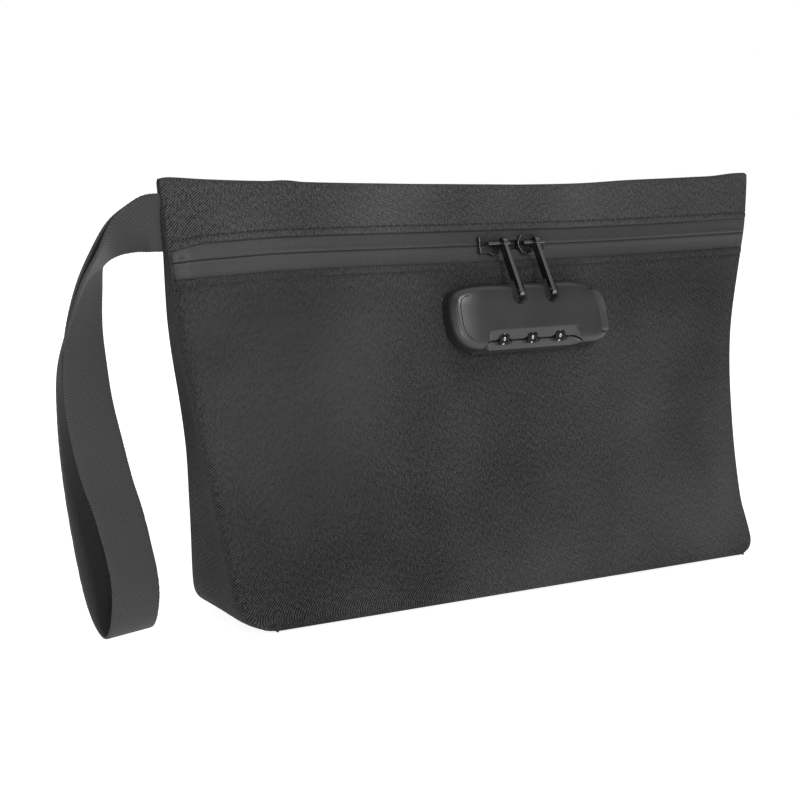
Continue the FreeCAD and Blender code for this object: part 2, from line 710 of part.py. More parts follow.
# The webbing's centre line and the direction across its width, from the seam down the
# outer lay, round the bottom bend and up the inner lay to the seam again.
STRAP = [
    ((-141.8, 9.0, 147.0), (0.00, 0.00, -1.00)), ((-149.0, 10.7, 145.5), (0.24, 0.41, -0.88)),
    ((-156.0, 12.2, 142.0), (0.36, 0.70, -0.62)), ((-162.0, 13.0, 135.5), (0.41, 0.88, -0.24)),
    ((-167.5, 14.2, 127.0), (0.41, 0.91, -0.05)), ((-172.5, 15.5, 113.5), (0.41, 0.91, 0.00)),
    ((-174.5, 16.0, 97.0), (0.53, 0.85, 0.00)), ((-173.5, 16.0, 79.0), (0.65, 0.76, 0.00)),
    ((-171.5, 14.5, 60.0), (0.75, 0.66, 0.00)), ((-168.5, 11.0, 39.0), (0.85, 0.52, 0.05)),
    ((-165.0, 7.0, 18.5), (0.91, 0.38, 0.12)), ((-162.0, 3.2, 6.5), (0.95, 0.30, 0.06)),
    ((-160.0, -2.0, 2.2), (0.95, 0.30, 0.00)), ((-159.5, -7.2, 9.0), (0.95, 0.27, -0.10)),
    ((-159.5, -8.0, 23.0), (0.96, 0.22, -0.18)), ((-162.5, -3.5, 44.0), (0.97, 0.22, -0.08)),
    ((-165.3, 0.5, 57.0), (0.98, 0.17, -0.06)), ((-167.4, 4.0, 70.5), (0.98, 0.18, -0.02)),
    ((-168.6, 8.0, 84.0), (0.96, 0.27, 0.00)), ((-168.6, 11.0, 97.0), (0.93, 0.36, -0.06)),
    ((-167.6, 13.3, 110.5), (0.85, 0.52, -0.10)), ((-164.8, 14.7, 124.5), (0.71, 0.68, -0.18)),
    ((-161.0, 15.7, 135.5), (0.52, 0.81, -0.28)), ((-155.5, 15.2, 143.0), (0.46, 0.76, -0.46)),
    ((-148.5, 13.2, 146.0), (0.37, 0.53, -0.77)), ((-141.8, 10.9, 147.0), (0.00, 0.00, -1.00)),
]


def strap():
    """The webbing loop as a ruled solid through one rectangle at each station."""
    half_wide, half_thick = D["strap_width"].value / 2, D["strap_thick"].value / 2
    centres = [Vector(*centre) for centre, _ in STRAP]
    sections = []
    for i, (_, across) in enumerate(STRAP):
        along = centres[min(i + 1, len(STRAP) - 1)] - centres[max(i - 1, 0)]
        across = Vector(*across).normalize() * half_wide
        out = along.cross(across).normalize() * half_thick
        turns = ((1, 1), (-1, 1), (-1, -1), (1, -1), (1, 1))
        sections.append(Part.makePolygon([centres[i] + across * a + out * b for a, b in turns]))
    webbing = DOC.addObject("Part::Feature", "wrist_strap")
    webbing.Shape = Part.makeLoft(sections, True, True)
    keep(webbing, "wrist_strap")


def check_and_write():
    DOC.recompute()
    for thing in DOC.Objects:
        if {"Invalid", "Error"} & set(thing.State):
            raise RuntimeError(f"{thing.Label} failed: {thing.State}")
    os.makedirs("parts", exist_ok=True)
    for thing in PARTS:
        if thing.Shape.isNull() or not thing.Shape.isValid():
            raise RuntimeError(f"{thing.Label} has no valid shape")
        thing.Shape.exportStep(f"parts/{thing.Label}.step")
        box = thing.Shape.BoundBox
        print(
            f"{thing.Label:20s} {thing.Shape.Volume / 1000:8.3f} cm3"
            f"  x {box.XMin:.1f}..{box.XMax:.1f}"
            f"  y {box.YMin:.1f}..{box.YMax:.1f}"
            f"  z {box.ZMin:.1f}..{box.ZMax:.1f}"
        )


pouch()
pouch_ends()
zip_hardware()
lock()
strap()
check_and_write()
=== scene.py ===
import bpy
import bmesh
import math
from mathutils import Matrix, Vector, noise


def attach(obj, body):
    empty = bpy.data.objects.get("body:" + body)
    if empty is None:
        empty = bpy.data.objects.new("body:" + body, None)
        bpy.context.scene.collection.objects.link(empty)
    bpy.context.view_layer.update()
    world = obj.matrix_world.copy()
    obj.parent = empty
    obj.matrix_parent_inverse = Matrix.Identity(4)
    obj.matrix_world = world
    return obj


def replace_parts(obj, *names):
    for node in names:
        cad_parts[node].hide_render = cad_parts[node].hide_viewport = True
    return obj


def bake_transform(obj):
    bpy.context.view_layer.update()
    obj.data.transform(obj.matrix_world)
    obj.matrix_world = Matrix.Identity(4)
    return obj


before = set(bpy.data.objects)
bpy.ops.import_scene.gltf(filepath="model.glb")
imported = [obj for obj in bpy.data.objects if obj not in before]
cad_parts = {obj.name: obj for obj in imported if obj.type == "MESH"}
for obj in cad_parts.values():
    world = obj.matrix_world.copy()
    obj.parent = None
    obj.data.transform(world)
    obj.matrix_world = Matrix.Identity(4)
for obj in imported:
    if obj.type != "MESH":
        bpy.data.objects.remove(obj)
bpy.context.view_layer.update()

MM = 0.001
LEAN = math.radians(11.9)             # how far the front panel leans back
SINE, COSINE = math.sin(LEAN), math.cos(LEAN)
TOP_Y, TOP_Z = 7.349, 163.0          # the front panel's top edge line, mm
BACK_Y, BACK_SLOPE = 11.349, 0.08374  # the back panel's top edge line and its slope


def front(x, s, d=0.0):
    """A point given in the front panel's own frame, mm in and m out.

    x runs along the bag, s down the panel from its top edge and d out of it.
    """
    return Vector((
        x * MM,
        (TOP_Y - SINE * s - COSINE * d) * MM,
        (TOP_Z - COSINE * s + SINE * d) * MM,
    ))


def table(points, at):
    """Smooth reading of a short list of (position, value) pairs."""
    if at <= points[0][0]:
        return points[0][1]
    for i in range(len(points) - 1):
        (a, va), (b, vb) = points[i], points[i + 1]
        if at <= b:
            before = points[max(i - 1, 0)]
            after = points[min(i + 2, len(points) - 1)]
            ma = (vb - before[1]) / (b - before[0]) if i > 0 else (vb - va) / (b - a)
            mb = (after[1] - va) / (after[0] - a) if i < len(points) - 2 else (vb - va) / (b - a)
            t = (at - a) / (b - a)
            h = b - a
            return (
                (2 * t ** 3 - 3 * t * t + 1) * va + (t ** 3 - 2 * t * t + t) * h * ma
                + (3 * t * t - 2 * t ** 3) * vb + (t ** 3 - t * t) * h * mb
            )
    return points[-1][1]


def soft_step(low, high, at):
    """Rises smoothly from 0 at low to 1 at high."""
    t = min(max((at - low) / (high - low), 0.0), 1.0)
    return t * t * (3 - 2 * t)


def add_object(name, data):
    """Adds an object to the scene."""
    obj = bpy.data.objects.new(name, data)
    bpy.context.scene.collection.objects.link(obj)
    return obj


def new_mesh(name, points, faces):
    """A mesh from points in metres."""
    mesh = bpy.data.meshes.new(name)
    mesh.from_pydata([tuple(p) for p in points], [], faces)
    return mesh


def side_faces(rings, count):
    """The faces between neighbouring rings, each of the same count of points."""
    faces = []
    for i in range(rings - 1):
        for k in range(count):
            a, b = i * count + k, i * count + (k + 1) % count
            faces.append((a, b, b + count, a + count))
    return faces


# ---- camera, light and stage ----

def look(obj, target):
    way = Vector(target) - obj.location
    obj.rotation_euler = way.to_track_quat("-Z", "Y").to_euler()


camera_data = bpy.data.cameras.new("camera")
camera_data.lens = 75.0
camera_data.sensor_width = 36.0
camera = add_object("camera", camera_data)
camera.location = (-0.3775, -0.5458, 0.1718)
look(camera, (-0.0394, 0.0092, 0.0753))
bpy.context.scene.camera = camera
camera_data.clip_start = 0.01
bpy.context.scene.view_settings.view_transform = "Standard"


def area_light(name, place, target, size, power):
    data = bpy.data.lights.new(name, "AREA")
    data.shape = "RECTANGLE"
    data.size, data.size_y = size
    data.energy = power
    lamp = add_object(name, data)
    lamp.location = place
    look(lamp, target)


area_light("key_light", (-0.02, -1.28, 0.78), (0.0, 0.0, 0.07), (0.34, 0.30), 9.0)
area_light("low_light", (-0.6, -1.0, 0.12), (-0.05, 0.0, 0.02), (0.4, 0.2), 2.6)
area_light("back_light", (0.5, 1.0, 1.0), (0.0, 0.0, 0.1), (0.8, 0.8), 6.0)


def studio_sky():
    """White at and below the horizon, dim above it and bright again overhead, all the way round."""
    world = bpy.data.worlds.new("studio")
    bpy.context.scene.world = world
    world.use_nodes = True
    tree = world.node_tree
    height = tree.nodes.new("ShaderNodeSeparateXYZ")
    tree.links.new(tree.nodes.new("ShaderNodeTexCoord").outputs["Generated"], height.inputs[0])
    ramp = tree.nodes.new("ShaderNodeValToRGB")
    ramp.color_ramp.elements[0].position = 0.10
    ramp.color_ramp.elements[0].color = (1.0, 1.0, 1.0, 1.0)
    ramp.color_ramp.elements[1].position = 0.15
    ramp.color_ramp.elements[1].color = (0.16, 0.16, 0.16, 1.0)
    for position, level in ((0.62, 0.16), (0.80, 0.85)):
        stop = ramp.color_ramp.elements.new(position)
        stop.color = (level, level, level, 1.0)
    tree.links.new(height.outputs["Z"], ramp.inputs[0])
    tree.links.new(ramp.outputs[0], tree.nodes["Background"].inputs[0])


studio_sky()


# ---- materials ----

class Nodes:
    """A short way to write a material's node tree."""

    def __init__(self, name, rough=0.6, metal=0.0, specular=0.5):
        self.material = bpy.data.materials.new(name)
        self.material.use_nodes = True
        self.tree = self.material.node_tree
        self.shader = self.tree.nodes["Principled BSDF"]
        self.shader.inputs["Roughness"].default_value = rough
        self.shader.inputs["Metallic"].default_value = metal
        self.shader.inputs["Specular IOR Level"].default_value = specular

    def add(self, kind, **values):
        node = self.tree.nodes.new(kind)
        for key, value in values.items():
            if key.startswith("in_"):
                socket = node.inputs[int(key[3:])] if key[3:].isdigit() else node.inputs[key[3:]]
                if hasattr(value, "is_output"):
                    self.tree.links.new(value, socket)
                else:
                    socket.default_value = value
            else:
                setattr(node, key, value)
        return node

    def coords(self, *scale, turn=0.0, uv=False):
        """Scaled coordinates, turned by some degrees; one scale holds for all three axes."""
        source = self.add("ShaderNodeTexCoord").outputs["UV" if uv else "Object"]
        scale = scale * 3 if len(scale) == 1 else scale
        mapping = self.add("ShaderNodeMapping", in_Vector=source, in_Scale=scale)
        mapping.inputs["Rotation"].default_value = (0, 0, math.radians(turn))
        return mapping.outputs[0]

    def noise(self, coords, detail):
        node = self.add("ShaderNodeTexNoise", in_Vector=coords, in_Scale=1.0, in_Detail=detail)
        return node.outputs["Fac"]

    def wave(self, coords, direction):
        node = self.add("ShaderNodeTexWave", in_Vector=coords, in_Scale=1.0, in_Distortion=0.0)
        node.bands_direction = direction
        return node.outputs["Fac"]

    def math(self, operation, a, b):
        node = self.add("ShaderNodeMath", operation=operation)
        for socket, value in zip(node.inputs, (a, b)):
            if hasattr(value, "is_output"):
                self.tree.links.new(value, socket)
            else:
                socket.default_value = value
        return node.outputs[0]

    def blend(self, *parts):
        """The sum of (socket, share) parts."""
        total = None
        for socket, share in parts:
            part = self.math("MULTIPLY", socket, share)
            total = self.math("ADD", total, part) if total else part
        return total

    def ramp(self, factor, low, high, at=(0.3, 0.7)):
        node = self.add("ShaderNodeValToRGB", in_Fac=factor)
        node.color_ramp.elements[0].position = at[0]
        node.color_ramp.elements[1].position = at[1]
        node.color_ramp.elements[0].color = (*low, 1)
        node.color_ramp.elements[1].color = (*high, 1)
        return node.outputs["Color"]

    def color(self, socket):
        self.tree.links.new(socket, self.shader.inputs["Base Color"])

    def roughness(self, factor, low, high):
        node = self.add("ShaderNodeMapRange", in_Value=factor)
        node.inputs["To Min"].default_value = low
        node.inputs["To Max"].default_value = high
        self.tree.links.new(node.outputs[0], self.shader.inputs["Roughness"])

    def bump(self, height, distance, strength=1.0):
        node = self.add("ShaderNodeBump", in_Height=height)
        node.inputs["Strength"].default_value = strength
        node.inputs["Distance"].default_value = distance
        self.tree.links.new(node.outputs[0], self.shader.inputs["Normal"])


def grey(level, tint=1.02):
    return (level, level, level * tint)


def twill(name, dark, light):
    """Heathered polyester: a fine diagonal weave whose yarns differ in tone."""
    m = Nodes(name, rough=0.88, specular=0.10)
    yarn = m.wave(m.coords(430.0, turn=52, uv=True), "X")
    cross = m.wave(m.coords(560.0, turn=-20, uv=True), "Y")
    weave = m.blend((yarn, 0.7), (cross, 0.3))
    heather = m.noise(m.coords(1500.0, 620.0, 900.0, turn=40, uv=True), 3.0)
    speck = m.noise(m.coords(2100.0, uv=True), 1.0)
    cloud = m.math("SUBTRACT", m.noise(m.coords(14.0), 2.0), 0.5)
    tone = m.blend((heather, 0.45), (speck, 0.30), (weave, 0.25), (cloud, 0.30))
    m.color(m.ramp(tone, grey(dark), grey(light), (0.38, 0.66)))
    m.roughness(heather, 0.80, 0.95)
    m.bump(m.math("ADD", weave, m.math("MULTIPLY", heather, 0.8)), 0.00030, 0.9)
    m.shader.inputs["Sheen Weight"].default_value = 0.04
    m.shader.inputs["Sheen Roughness"].default_value = 0.5
    return m.material


def coated_tape(name):
    """Water-resistant zip tape: a smooth dark coating over a faintly ribbed weave."""
    m = Nodes(name, rough=0.5, specular=0.4)
    grain = m.noise(m.coords(700.0), 3.0)
    rib = m.wave(m.coords(260.0, uv=True), "X")
    broad = m.noise(m.coords(30.0), 2.0)
    m.color(m.ramp(m.blend((grain, 0.5), (broad, 0.5)), grey(0.021), grey(0.034)))
    m.roughness(grain, 0.42, 0.58)
    m.bump(m.math("ADD", grain, m.math("MULTIPLY", rib, 0.15)), 0.00006, 0.6)
    return m.material


def moulded(name, dark, light, rough, grain_depth=0.00003, coarse=2600.0):
    """Satin moulded plastic with a fine spark-eroded grain."""
    m = Nodes(name, rough=rough[0], specular=0.5)
    grain = m.noise(m.coords(coarse), 2.0)
    broad = m.noise(m.coords(60.0), 3.0)
    m.color(m.ramp(broad, grey(dark), grey(light)))
    m.roughness(m.blend((grain, 0.6), (broad, 0.4)), *rough)
    m.bump(grain, grain_depth, 0.7)
    return m.material


def metal(name, level, rough, metallic, edge=0.0):
    """Plated metal; edge is the grey of a painted highlight on all faces but those that face
    sideways.
    """
    m = Nodes(name, rough=rough, metal=metallic)
    brush = m.noise(m.coords(300.0, 2500.0, 2500.0), 3.0)
    worn = m.noise(m.coords(180.0), 4.0)
    plain = m.ramp(worn, grey(level * 0.8), grey(level * 1.35))
    # Faces not turned sideways take the edge grey: painted highlight along the lit edges, the sides
    # left darker.
    if edge:
        normal = m.add("ShaderNodeNewGeometry").outputs["Normal"]
        parts = m.add("ShaderNodeSeparateXYZ", in_Vector=normal)
        aside = m.math("ABSOLUTE", parts.outputs["X"], 0.0)
        painted_highlight = m.math("SUBTRACT", 1.0, m.math("GREATER_THAN", aside, 0.6))
        mix = m.add("ShaderNodeMix", data_type="RGBA")
        m.tree.links.new(painted_highlight, mix.inputs["Factor"])
        m.tree.links.new(plain, mix.inputs[6])
        mix.inputs[7].default_value = (*grey(edge), 1)
        plain = mix.outputs[2]
    m.color(plain)
    m.roughness(brush, rough - 0.08, rough + 0.12)
    m.bump(brush, 0.00001, 0.4)
    return m.material


def ribbed_webbing(name):
    """Woven webbing with ribs across it and a slanting herringbone."""
    m = Nodes(name, rough=0.72, specular=0.3)
    across = m.wave(m.coords(420.0, uv=True), "X")
    diagonal = m.wave(m.coords(330.0, turn=24, uv=True), "Y")
    grain = m.noise(m.coords(1600.0, uv=True), 2.0)
    weave = m.blend((across, 0.35), (diagonal, 0.65))
    tone = m.blend((weave, 0.45), (grain, 0.55))
    m.color(m.ramp(tone, grey(0.018), grey(0.048, 1.04), (0.25, 0.75)))
    m.roughness(grain, 0.62, 0.82)
    m.bump(weave, 0.00012, 0.7)
    m.shader.inputs["Sheen Weight"].default_value = 0.05
    return m.material


CLOTH = twill("pouch_twill", 0.005, 0.068)
# The header's twill is the pouch cloth made lighter: painted light for the extra light its upturned
# fold catches.
HEADER_PAINTED_LIGHT_TWILL = twill("header_twill_painted_light", 0.010, 0.096)
LINING = twill("lining_cloth", 0.05, 0.12)
TAPE = coated_tape("coated_zip_tape")
COIL = moulded("coil_nylon", 0.010, 0.018, (0.5, 0.65))
LOCK = moulded("lock_shell", 0.020, 0.028, (0.28, 0.36))
TAB = moulded("release_tab_plastic", 0.040, 0.052, (0.30, 0.40))
# A darker copy of the lock plastic, used as painted shade: on the lock's base and latch bar, on the
# cover's left side wall and inside its cut recesses, windows and tab opening.
LOCK_PAINTED_SHADE = moulded("lock_painted_shade", 0.007, 0.011, (0.5, 0.62))
DIAL = moulded("dial_black", 0.006, 0.010, (0.50, 0.62))
DIAL.node_tree.nodes["Principled BSDF"].inputs["Specular IOR Level"].default_value = 0.15
DIGIT = moulded("digit_white", 0.75, 0.82, (0.5, 0.6))
BLACK_METAL = metal("slider_metal", 0.13, 0.18, 0.95)
# The pull's 0.17 edge grey is a painted highlight on its front and back edges.
PULL_METAL = metal("pull_metal", 0.065, 0.26, 0.95, 0.17)
STEEL = metal("plain_steel", 0.5, 0.32, 1.0)
WEBBING = ribbed_webbing("strap_webbing")
THREAD = moulded("sewing_thread", 0.006, 0.012, (0.6, 0.8), 0.00004, 3000.0)
BOARD = moulded("base_board_plastic", 0.03, 0.05, (0.5, 0.7))


def floor():
    """A wide sheet of pale paper under the bag."""
    m = Nodes("floor_paper", rough=0.9, specular=0.1)
    grain = m.noise(m.coords(40.0), 2.0)
    m.color(m.ramp(grain, (0.48, 0.48, 0.48), (0.52, 0.52, 0.52)))
    m.shader.inputs["Emission Color"].default_value = (1, 1, 1, 1)
    m.shader.inputs["Emission Strength"].default_value = 0.92
    reach, level = 6.0, -0.0004
    corners = ((-reach, -reach), (reach, -reach), (reach, reach), (-reach, reach))
    mesh = new_mesh("floor", [(x, y, level) for x, y in corners], [(0, 1, 2, 3)])
    mesh.materials.append(m.material)
    sheet = add_object("floor", mesh)


floor()


# ---- mesh helpers ----

def new_piece(name, mesh, material, body, smooth=True):
    """Makes a mesh into a piece that rides on a body, with the given material unless the mesh has
    one.
    """
    piece = add_object(name, mesh)
    if not mesh.materials:
        mesh.materials.append(material)
    for face in mesh.polygons:
        face.use_smooth = smooth
    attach(piece, body)
    return piece


class Cloth:
    """Collects grids of points into one mesh, with a flat pattern in mm kept as its UV map."""

    def __init__(self):
        self.points, self.faces, self.uv, self.groups = [], [], [], []

    def grid(self, rows, pattern, flip=False, group=0):
        """Adds rows of points in metres; pattern gives each point's place in the cloth, mm."""
        start, width = len(self.points), len(rows[0])
        flat = []
        for row, marks in zip(rows, pattern):
            self.points.extend(row)
            flat.extend(marks)
        for i in range(len(rows) - 1):
            for j in range(width - 1):
                a, b = i * width + j, i * width + j + 1
                c, d = (i + 1) * width + j + 1, (i + 1) * width + j
                order = (a, b, c, d) if flip else (a, d, c, b)
                self.faces.append([start + k for k in order])
                self.uv.append([flat[k] for k in order])
                self.groups.append(group)

    def fan(self, rim):
        """Closes a small hole with triangles from its middle."""
        start = len(self.points)
        middle = sum(rim, Vector()) / len(rim)
        self.points.extend(rim + [middle])
        for i in range(len(rim)):
            self.faces.append([start + i, start + (i + 1) % len(rim), start + len(rim)])
            self.uv.append([(0.0, 0.0)] * 3)
            self.groups.append(0)

    def mesh(self, name):
        mesh = new_mesh(name, self.points, self.faces)
        layer = mesh.uv_layers.new(name="cloth")
        for mark, (u, v) in zip(layer.data, (place for corners in self.uv for place in corners)):
            mark.uv = (u * MM, v * MM)
        for face, group in zip(mesh.polygons, self.groups):
            face.material_index = group
        shape = bmesh.new()
        shape.from_mesh(mesh)
        bmesh.ops.remove_doubles(shape, verts=shape.verts, dist=0.00002)
        bmesh.ops.recalc_face_normals(shape, faces=shape.faces)
        shape.to_mesh(mesh)
        shape.free()
        return mesh


def face_outwards(mesh):
    """Turns a closed mesh's faces to point outwards."""
    shape = bmesh.new()
    shape.from_mesh(mesh)
    bmesh.ops.recalc_face_normals(shape, faces=shape.faces)
    shape.to_mesh(mesh)
    shape.free()


def apply_modifiers(piece):
    """Makes the piece's mesh what its modifiers show."""
    graph = bpy.context.evaluated_depsgraph_get()
    mesh = bpy.data.meshes.new_from_object(piece.evaluated_get(graph), depsgraph=graph)
    piece.modifiers.clear()
    piece.data = mesh


def thicken(piece, thickness, offset=-1.0):
    """Gives a surface its thickness in metres, inwards unless offset says otherwise."""
    modifier = piece.modifiers.new("thick", "SOLIDIFY")
    modifier.thickness = thickness
    modifier.offset = offset
    modifier.use_even_offset = False
    apply_modifiers(piece)


# ---- the pouch's shape ----

# Depths down the front, mm: the header's hem, the panel's hem, the zip's slit, the base's edge.
HEADER_END, PANEL_START, SLIT, BOTTOM = 22.0, 34.5, 28.0, 165.2
# The cloth patterns' width, and where each part is laid out in them, mm.
PATTERN_WIDTH = 270.0
BACK_AT, GUSSET_AT, BASE_AT = 400, 700, 900

# The front side seams: depth and x, then depth and height out of the flat panel, mm.
LEFT_X = [
    (0, -140), (22, -138.6), (36, -137.4), (65, -134.6), (97, -131.0), (123, -128.3),
    (148, -126.0), (156, -124.4), (161, -121.5), (164, -117.0), (165.2, -112.5),
]
LEFT_D = [
    (0, 0), (22, -1.0), (36, -2.4), (65, -5.0), (97, -5.4), (123, -4.2), (148, -2.6),
    (156, -1.8), (165.2, -0.2),
]
RIGHT_X = [
    (0, 139.6), (22, 137.5), (36, 135.0), (70, 127.4), (105, 124.2), (140, 122.2),
    (152, 122.0), (159, 120.8), (163, 117.5), (165.2, 112.5),
]
RIGHT_D = [
    (0, 0), (22, -2.2), (36, -4.6), (70, -9.0), (105, -10.4), (140, -8.6), (155, -5.0),
    (165.2, -0.4),
]

# How far the back seams stand behind the front ones, mm, against the depth.
LEFT_GAP = [
    (0, 4.2), (25, 7.0), (50, 11.5), (97, 17.5), (122, 27.0), (150, 38.5), (160, 45.0),
    (165.2, 49.0),
]
RIGHT_GAP = [
    (0, 4.2), (25, 7.0), (50, 11.0), (97, 18.0), (122, 27.0), (150, 38.0), (160, 44.0),
    (165.2, 48.5),
]

# The sag of the top edge along the bag: x and the drop below the straight edge, mm.
TOP_SAG = [
    (-140, 0.2), (-136, -0.2), (-123, 0.8), (-98, 1.8), (-89, 1.5), (-81, 2.3), (-48, 3.1),
    (-10, 3.7), (18, 4.1), (50, 3.9), (71, 3.0), (95, 2.4), (110, 2.0), (121, 1.6), (132, 0.2),
    (139.6, 0.0),
]
# How the zip opening bends along the bag: x and the extra depth, mm.
ZIP_BEND = [
    (-138, 1.9), (-120, 1.2), (-95, 0.2), (-50, 0.0), (30, 0.0), (70, -0.5), (110, -1.5),
    (138, -2.4),
]
SEAM_GROOVE, BACK_GROOVE = 1.5, 0.9   # how deep the side seams pull in, mm


def seam_point(side, s):
    """A point on a front side seam."""
    xs, ds = (LEFT_X, LEFT_D) if side < 0 else (RIGHT_X, RIGHT_D)
    return table(xs, s), table(ds, s)


def bend_depth(x, s):
    """Depth after the sag of the top edge, the bend of the zip and the hem's drop at the left."""
    near_top = 1.0 - soft_step(0.0, 20.0, s)
    near_zip = soft_step(4.0, 20.0, s) * (1.0 - soft_step(36.0, 80.0, s))
    near_hem = math.exp(-((s - HEADER_END) / 4.5) ** 2) * soft_step(123.0, 138.0, -x)
    return s + table(TOP_SAG, x) * near_top + table(ZIP_BEND, x) * near_zip + 1.9 * near_hem


def ripple(x, s):
    """Slow waves of the limp cloth, mm out of the panel."""
    spot = Vector((x * 0.016, s * 0.024, 3.1))
    wave = noise.noise(spot) * 1.3 + noise.noise(spot * 2.6) * 0.45
    free = soft_step(40.0, 75.0, s) * (1.0 - 0.6 * soft_step(140.0, 165.0, s))
    lock = math.exp(-(((x - 9) / 52.0) ** 2 + ((s - 58) / 26.0) ** 2) * 1.4)
    crease = math.sin(x * 0.105 + 1.0) + 0.7 * math.sin(x * 0.243 + 0.4)
    header = 0.5 * crease * math.exp(-((s - 10.0) / 8.0) ** 2)
    return wave * (0.25 + 0.75 * free) * (1.0 - lock) * 0.9 + header


def front_surface(u, s, out=0.0):
    """The pouch's front: u from the left seam to the right one, s depth, out extra height, mm."""
    (xl, dl), (xr, dr) = seam_point(-1, s), seam_point(1, s)
    x = xl + (xr - xl) * u
    left = max(0.0, 1.0 - u / 0.30) ** 2.2
    right = max(0.0, 1.0 - (1.0 - u) / 0.34) ** 2.2
    edge = min(u, 1.0 - u) * (xr - xl)
    groove = -SEAM_GROOVE * math.exp(-(edge / 0.9) ** 2)
    groove += 0.35 * math.exp(-((edge - 2.2) / 0.9) ** 2)
    calm = soft_step(0.0, 16.0, edge)
    d = dl * left + dr * right + groove + ripple(x, s) * calm
    return front(x, bend_depth(x, s), d + out)


def back_surface(u, s, out=0.0):
    """The pouch's back, u from the left seam to the right one; out is mm behind the panel."""
    ends = []
    for side, gaps in ((-1, LEFT_GAP), (1, RIGHT_GAP)):
        x, d = seam_point(side, s)
        here = front(x, bend_depth(x, s), d - BACK_GROOVE)
        ends.append(Vector((here.x, here.y + table(gaps, s) * MM, here.z)))
    low, high = ends
    x = low.x + (high.x - low.x) * u
    z = low.z + (high.z - low.z) * u
    middle = front(x / MM, bend_depth(x / MM, s), 0.0)
    z = z + (middle.z - z) * math.sin(math.pi * u) ** 0.5
    straight = (BACK_Y + BACK_SLOPE * (TOP_Z - z / MM)) * MM
    left = max(0.0, 1.0 - u / 0.30) ** 2.2
    right = max(0.0, 1.0 - (1.0 - u) / 0.30) ** 2.2
    edge = min(u, 1.0 - u) * (high.x - low.x) / MM
    spot = Vector((x * 17.0, s * 0.022, 9.4))
    wave = noise.noise(spot) * 1.6 + noise.noise(spot * 2.3) * 0.6
    wave = wave * soft_step(8.0, 50.0, s) * soft_step(0, 20, edge)
    wave *= 1.0 - soft_step(140.0, 164.0, s)
    y = straight + (low.y - straight) * left + (high.y - straight) * right
    y += (wave - BACK_GROOVE * math.exp(-(edge / 1.1) ** 2) + out) * MM
    return Vector((x, y, max(z, 0.0006)))


def end_surface(side, v, s):
    """A side gusset: v from the front seam to the back one."""
    u = 0.0 if side < 0 else 1.0
    start, end = front_surface(u, s), back_surface(u, s)
    width = (end.y - start.y) / MM
    point = start.lerp(end, v)
    hollow = math.sin(math.pi * v)
    depth = 0.10 * width * (soft_step(20.0, 90.0, s) - soft_step(120.0, 160.0, s))
    edge = min(v, 1.0 - v) * width
    lip = 1.1 * (1.0 - math.exp(-(edge / 0.8) ** 2)) * soft_step(4.0, 14.0, s)
    fold = 0.5 * math.sin(s * 0.11 + side) * hollow
    point.x += -side * (depth * hollow ** 1.2 + fold - lip) * MM
    corner = soft_step(156.0, 165.2, s) * (1.0 - v) ** 3
    point.x += side * 3.0 * corner * math.sin(math.pi * min(v * 1.6, 1.0)) * MM
    return point


def depths(start, end, step):
    """Even places from start to end, about a step apart."""
    count = max(1, round((end - start) / step))
    return [start + (end - start) * i / count for i in range(count + 1)]


# The places across the panels, from 0 to 1, with three more beside each seam.
NEAR_SEAM = [0.0, 0.0018, 0.0036]
FIRST_WIDE = 0.0065
COLUMNS = NEAR_SEAM + [FIRST_WIDE + (1 - 2 * FIRST_WIDE) * (i / 150) for i in range(151)]
COLUMNS += [1 - u for u in reversed(NEAR_SEAM)]
LIP_STEPS = (0.0, 0.4, 0.9, 1.6)      # the same beside the gusset's seams, mm


def gusset_columns(side, s):
    """Places across the gusset, with three close to each seam whatever the gusset's width."""
    u = 0.0 if side < 0 else 1.0
    width = max((back_surface(u, s).y - front_surface(u, s).y) / MM, 3.4)
    near = [d / width for d in LIP_STEPS]
    middle = [near[-1] + (1 - 2 * near[-1]) * i / 14 for i in range(1, 14)]
    return near + middle + [1 - v for v in reversed(near)]


# A turned hem, from its hidden end round the fold to the face: distance from the fold, height, mm.
HEM = [
    (1.9, -1.5), (1.5, -1.9), (0.6, -1.75), (0.12, -1.2), (0.0, -0.5), (0.25, 0.05), (0.9, 0.28),
    (2.0, 0.25),
]
PANEL_STITCH, HEADER_STITCH = 2.9, 2.6   # how far the stitch lines lie from the folds, mm
STITCH_DIP = -0.42
RIDGE = [(0.2, -0.7), (0.75, -0.15)]     # the header's first rows at the top ridge


def base_rows(columns):
    """The base, from the front's lower edge to the back's, meeting both gussets."""
    front_edge = [front_surface(u, BOTTOM) for u in COLUMNS]
    back_edge = [back_surface(u, BOTTOM) for u in COLUMNS]
    rows = []
    for v in columns:
        left, right = end_surface(-1, v, BOTTOM), end_surface(1, v, BOTTOM)
        straight_left = front_edge[0].lerp(back_edge[0], v)
        straight_right = front_edge[-1].lerp(back_edge[-1], v)
        flat = soft_step(0.0, 4.0, min(v, 1 - v) * 48.0)
        row = []
        for u, a, b in zip(COLUMNS, front_edge, back_edge):
            point = a.lerp(b, v) + (left.lerp(right, u) - straight_left.lerp(straight_right, u))
            point.z = point.z * (1 - flat) + 0.0003 * flat
            row.append(point)
        rows.append(row)
    return rows


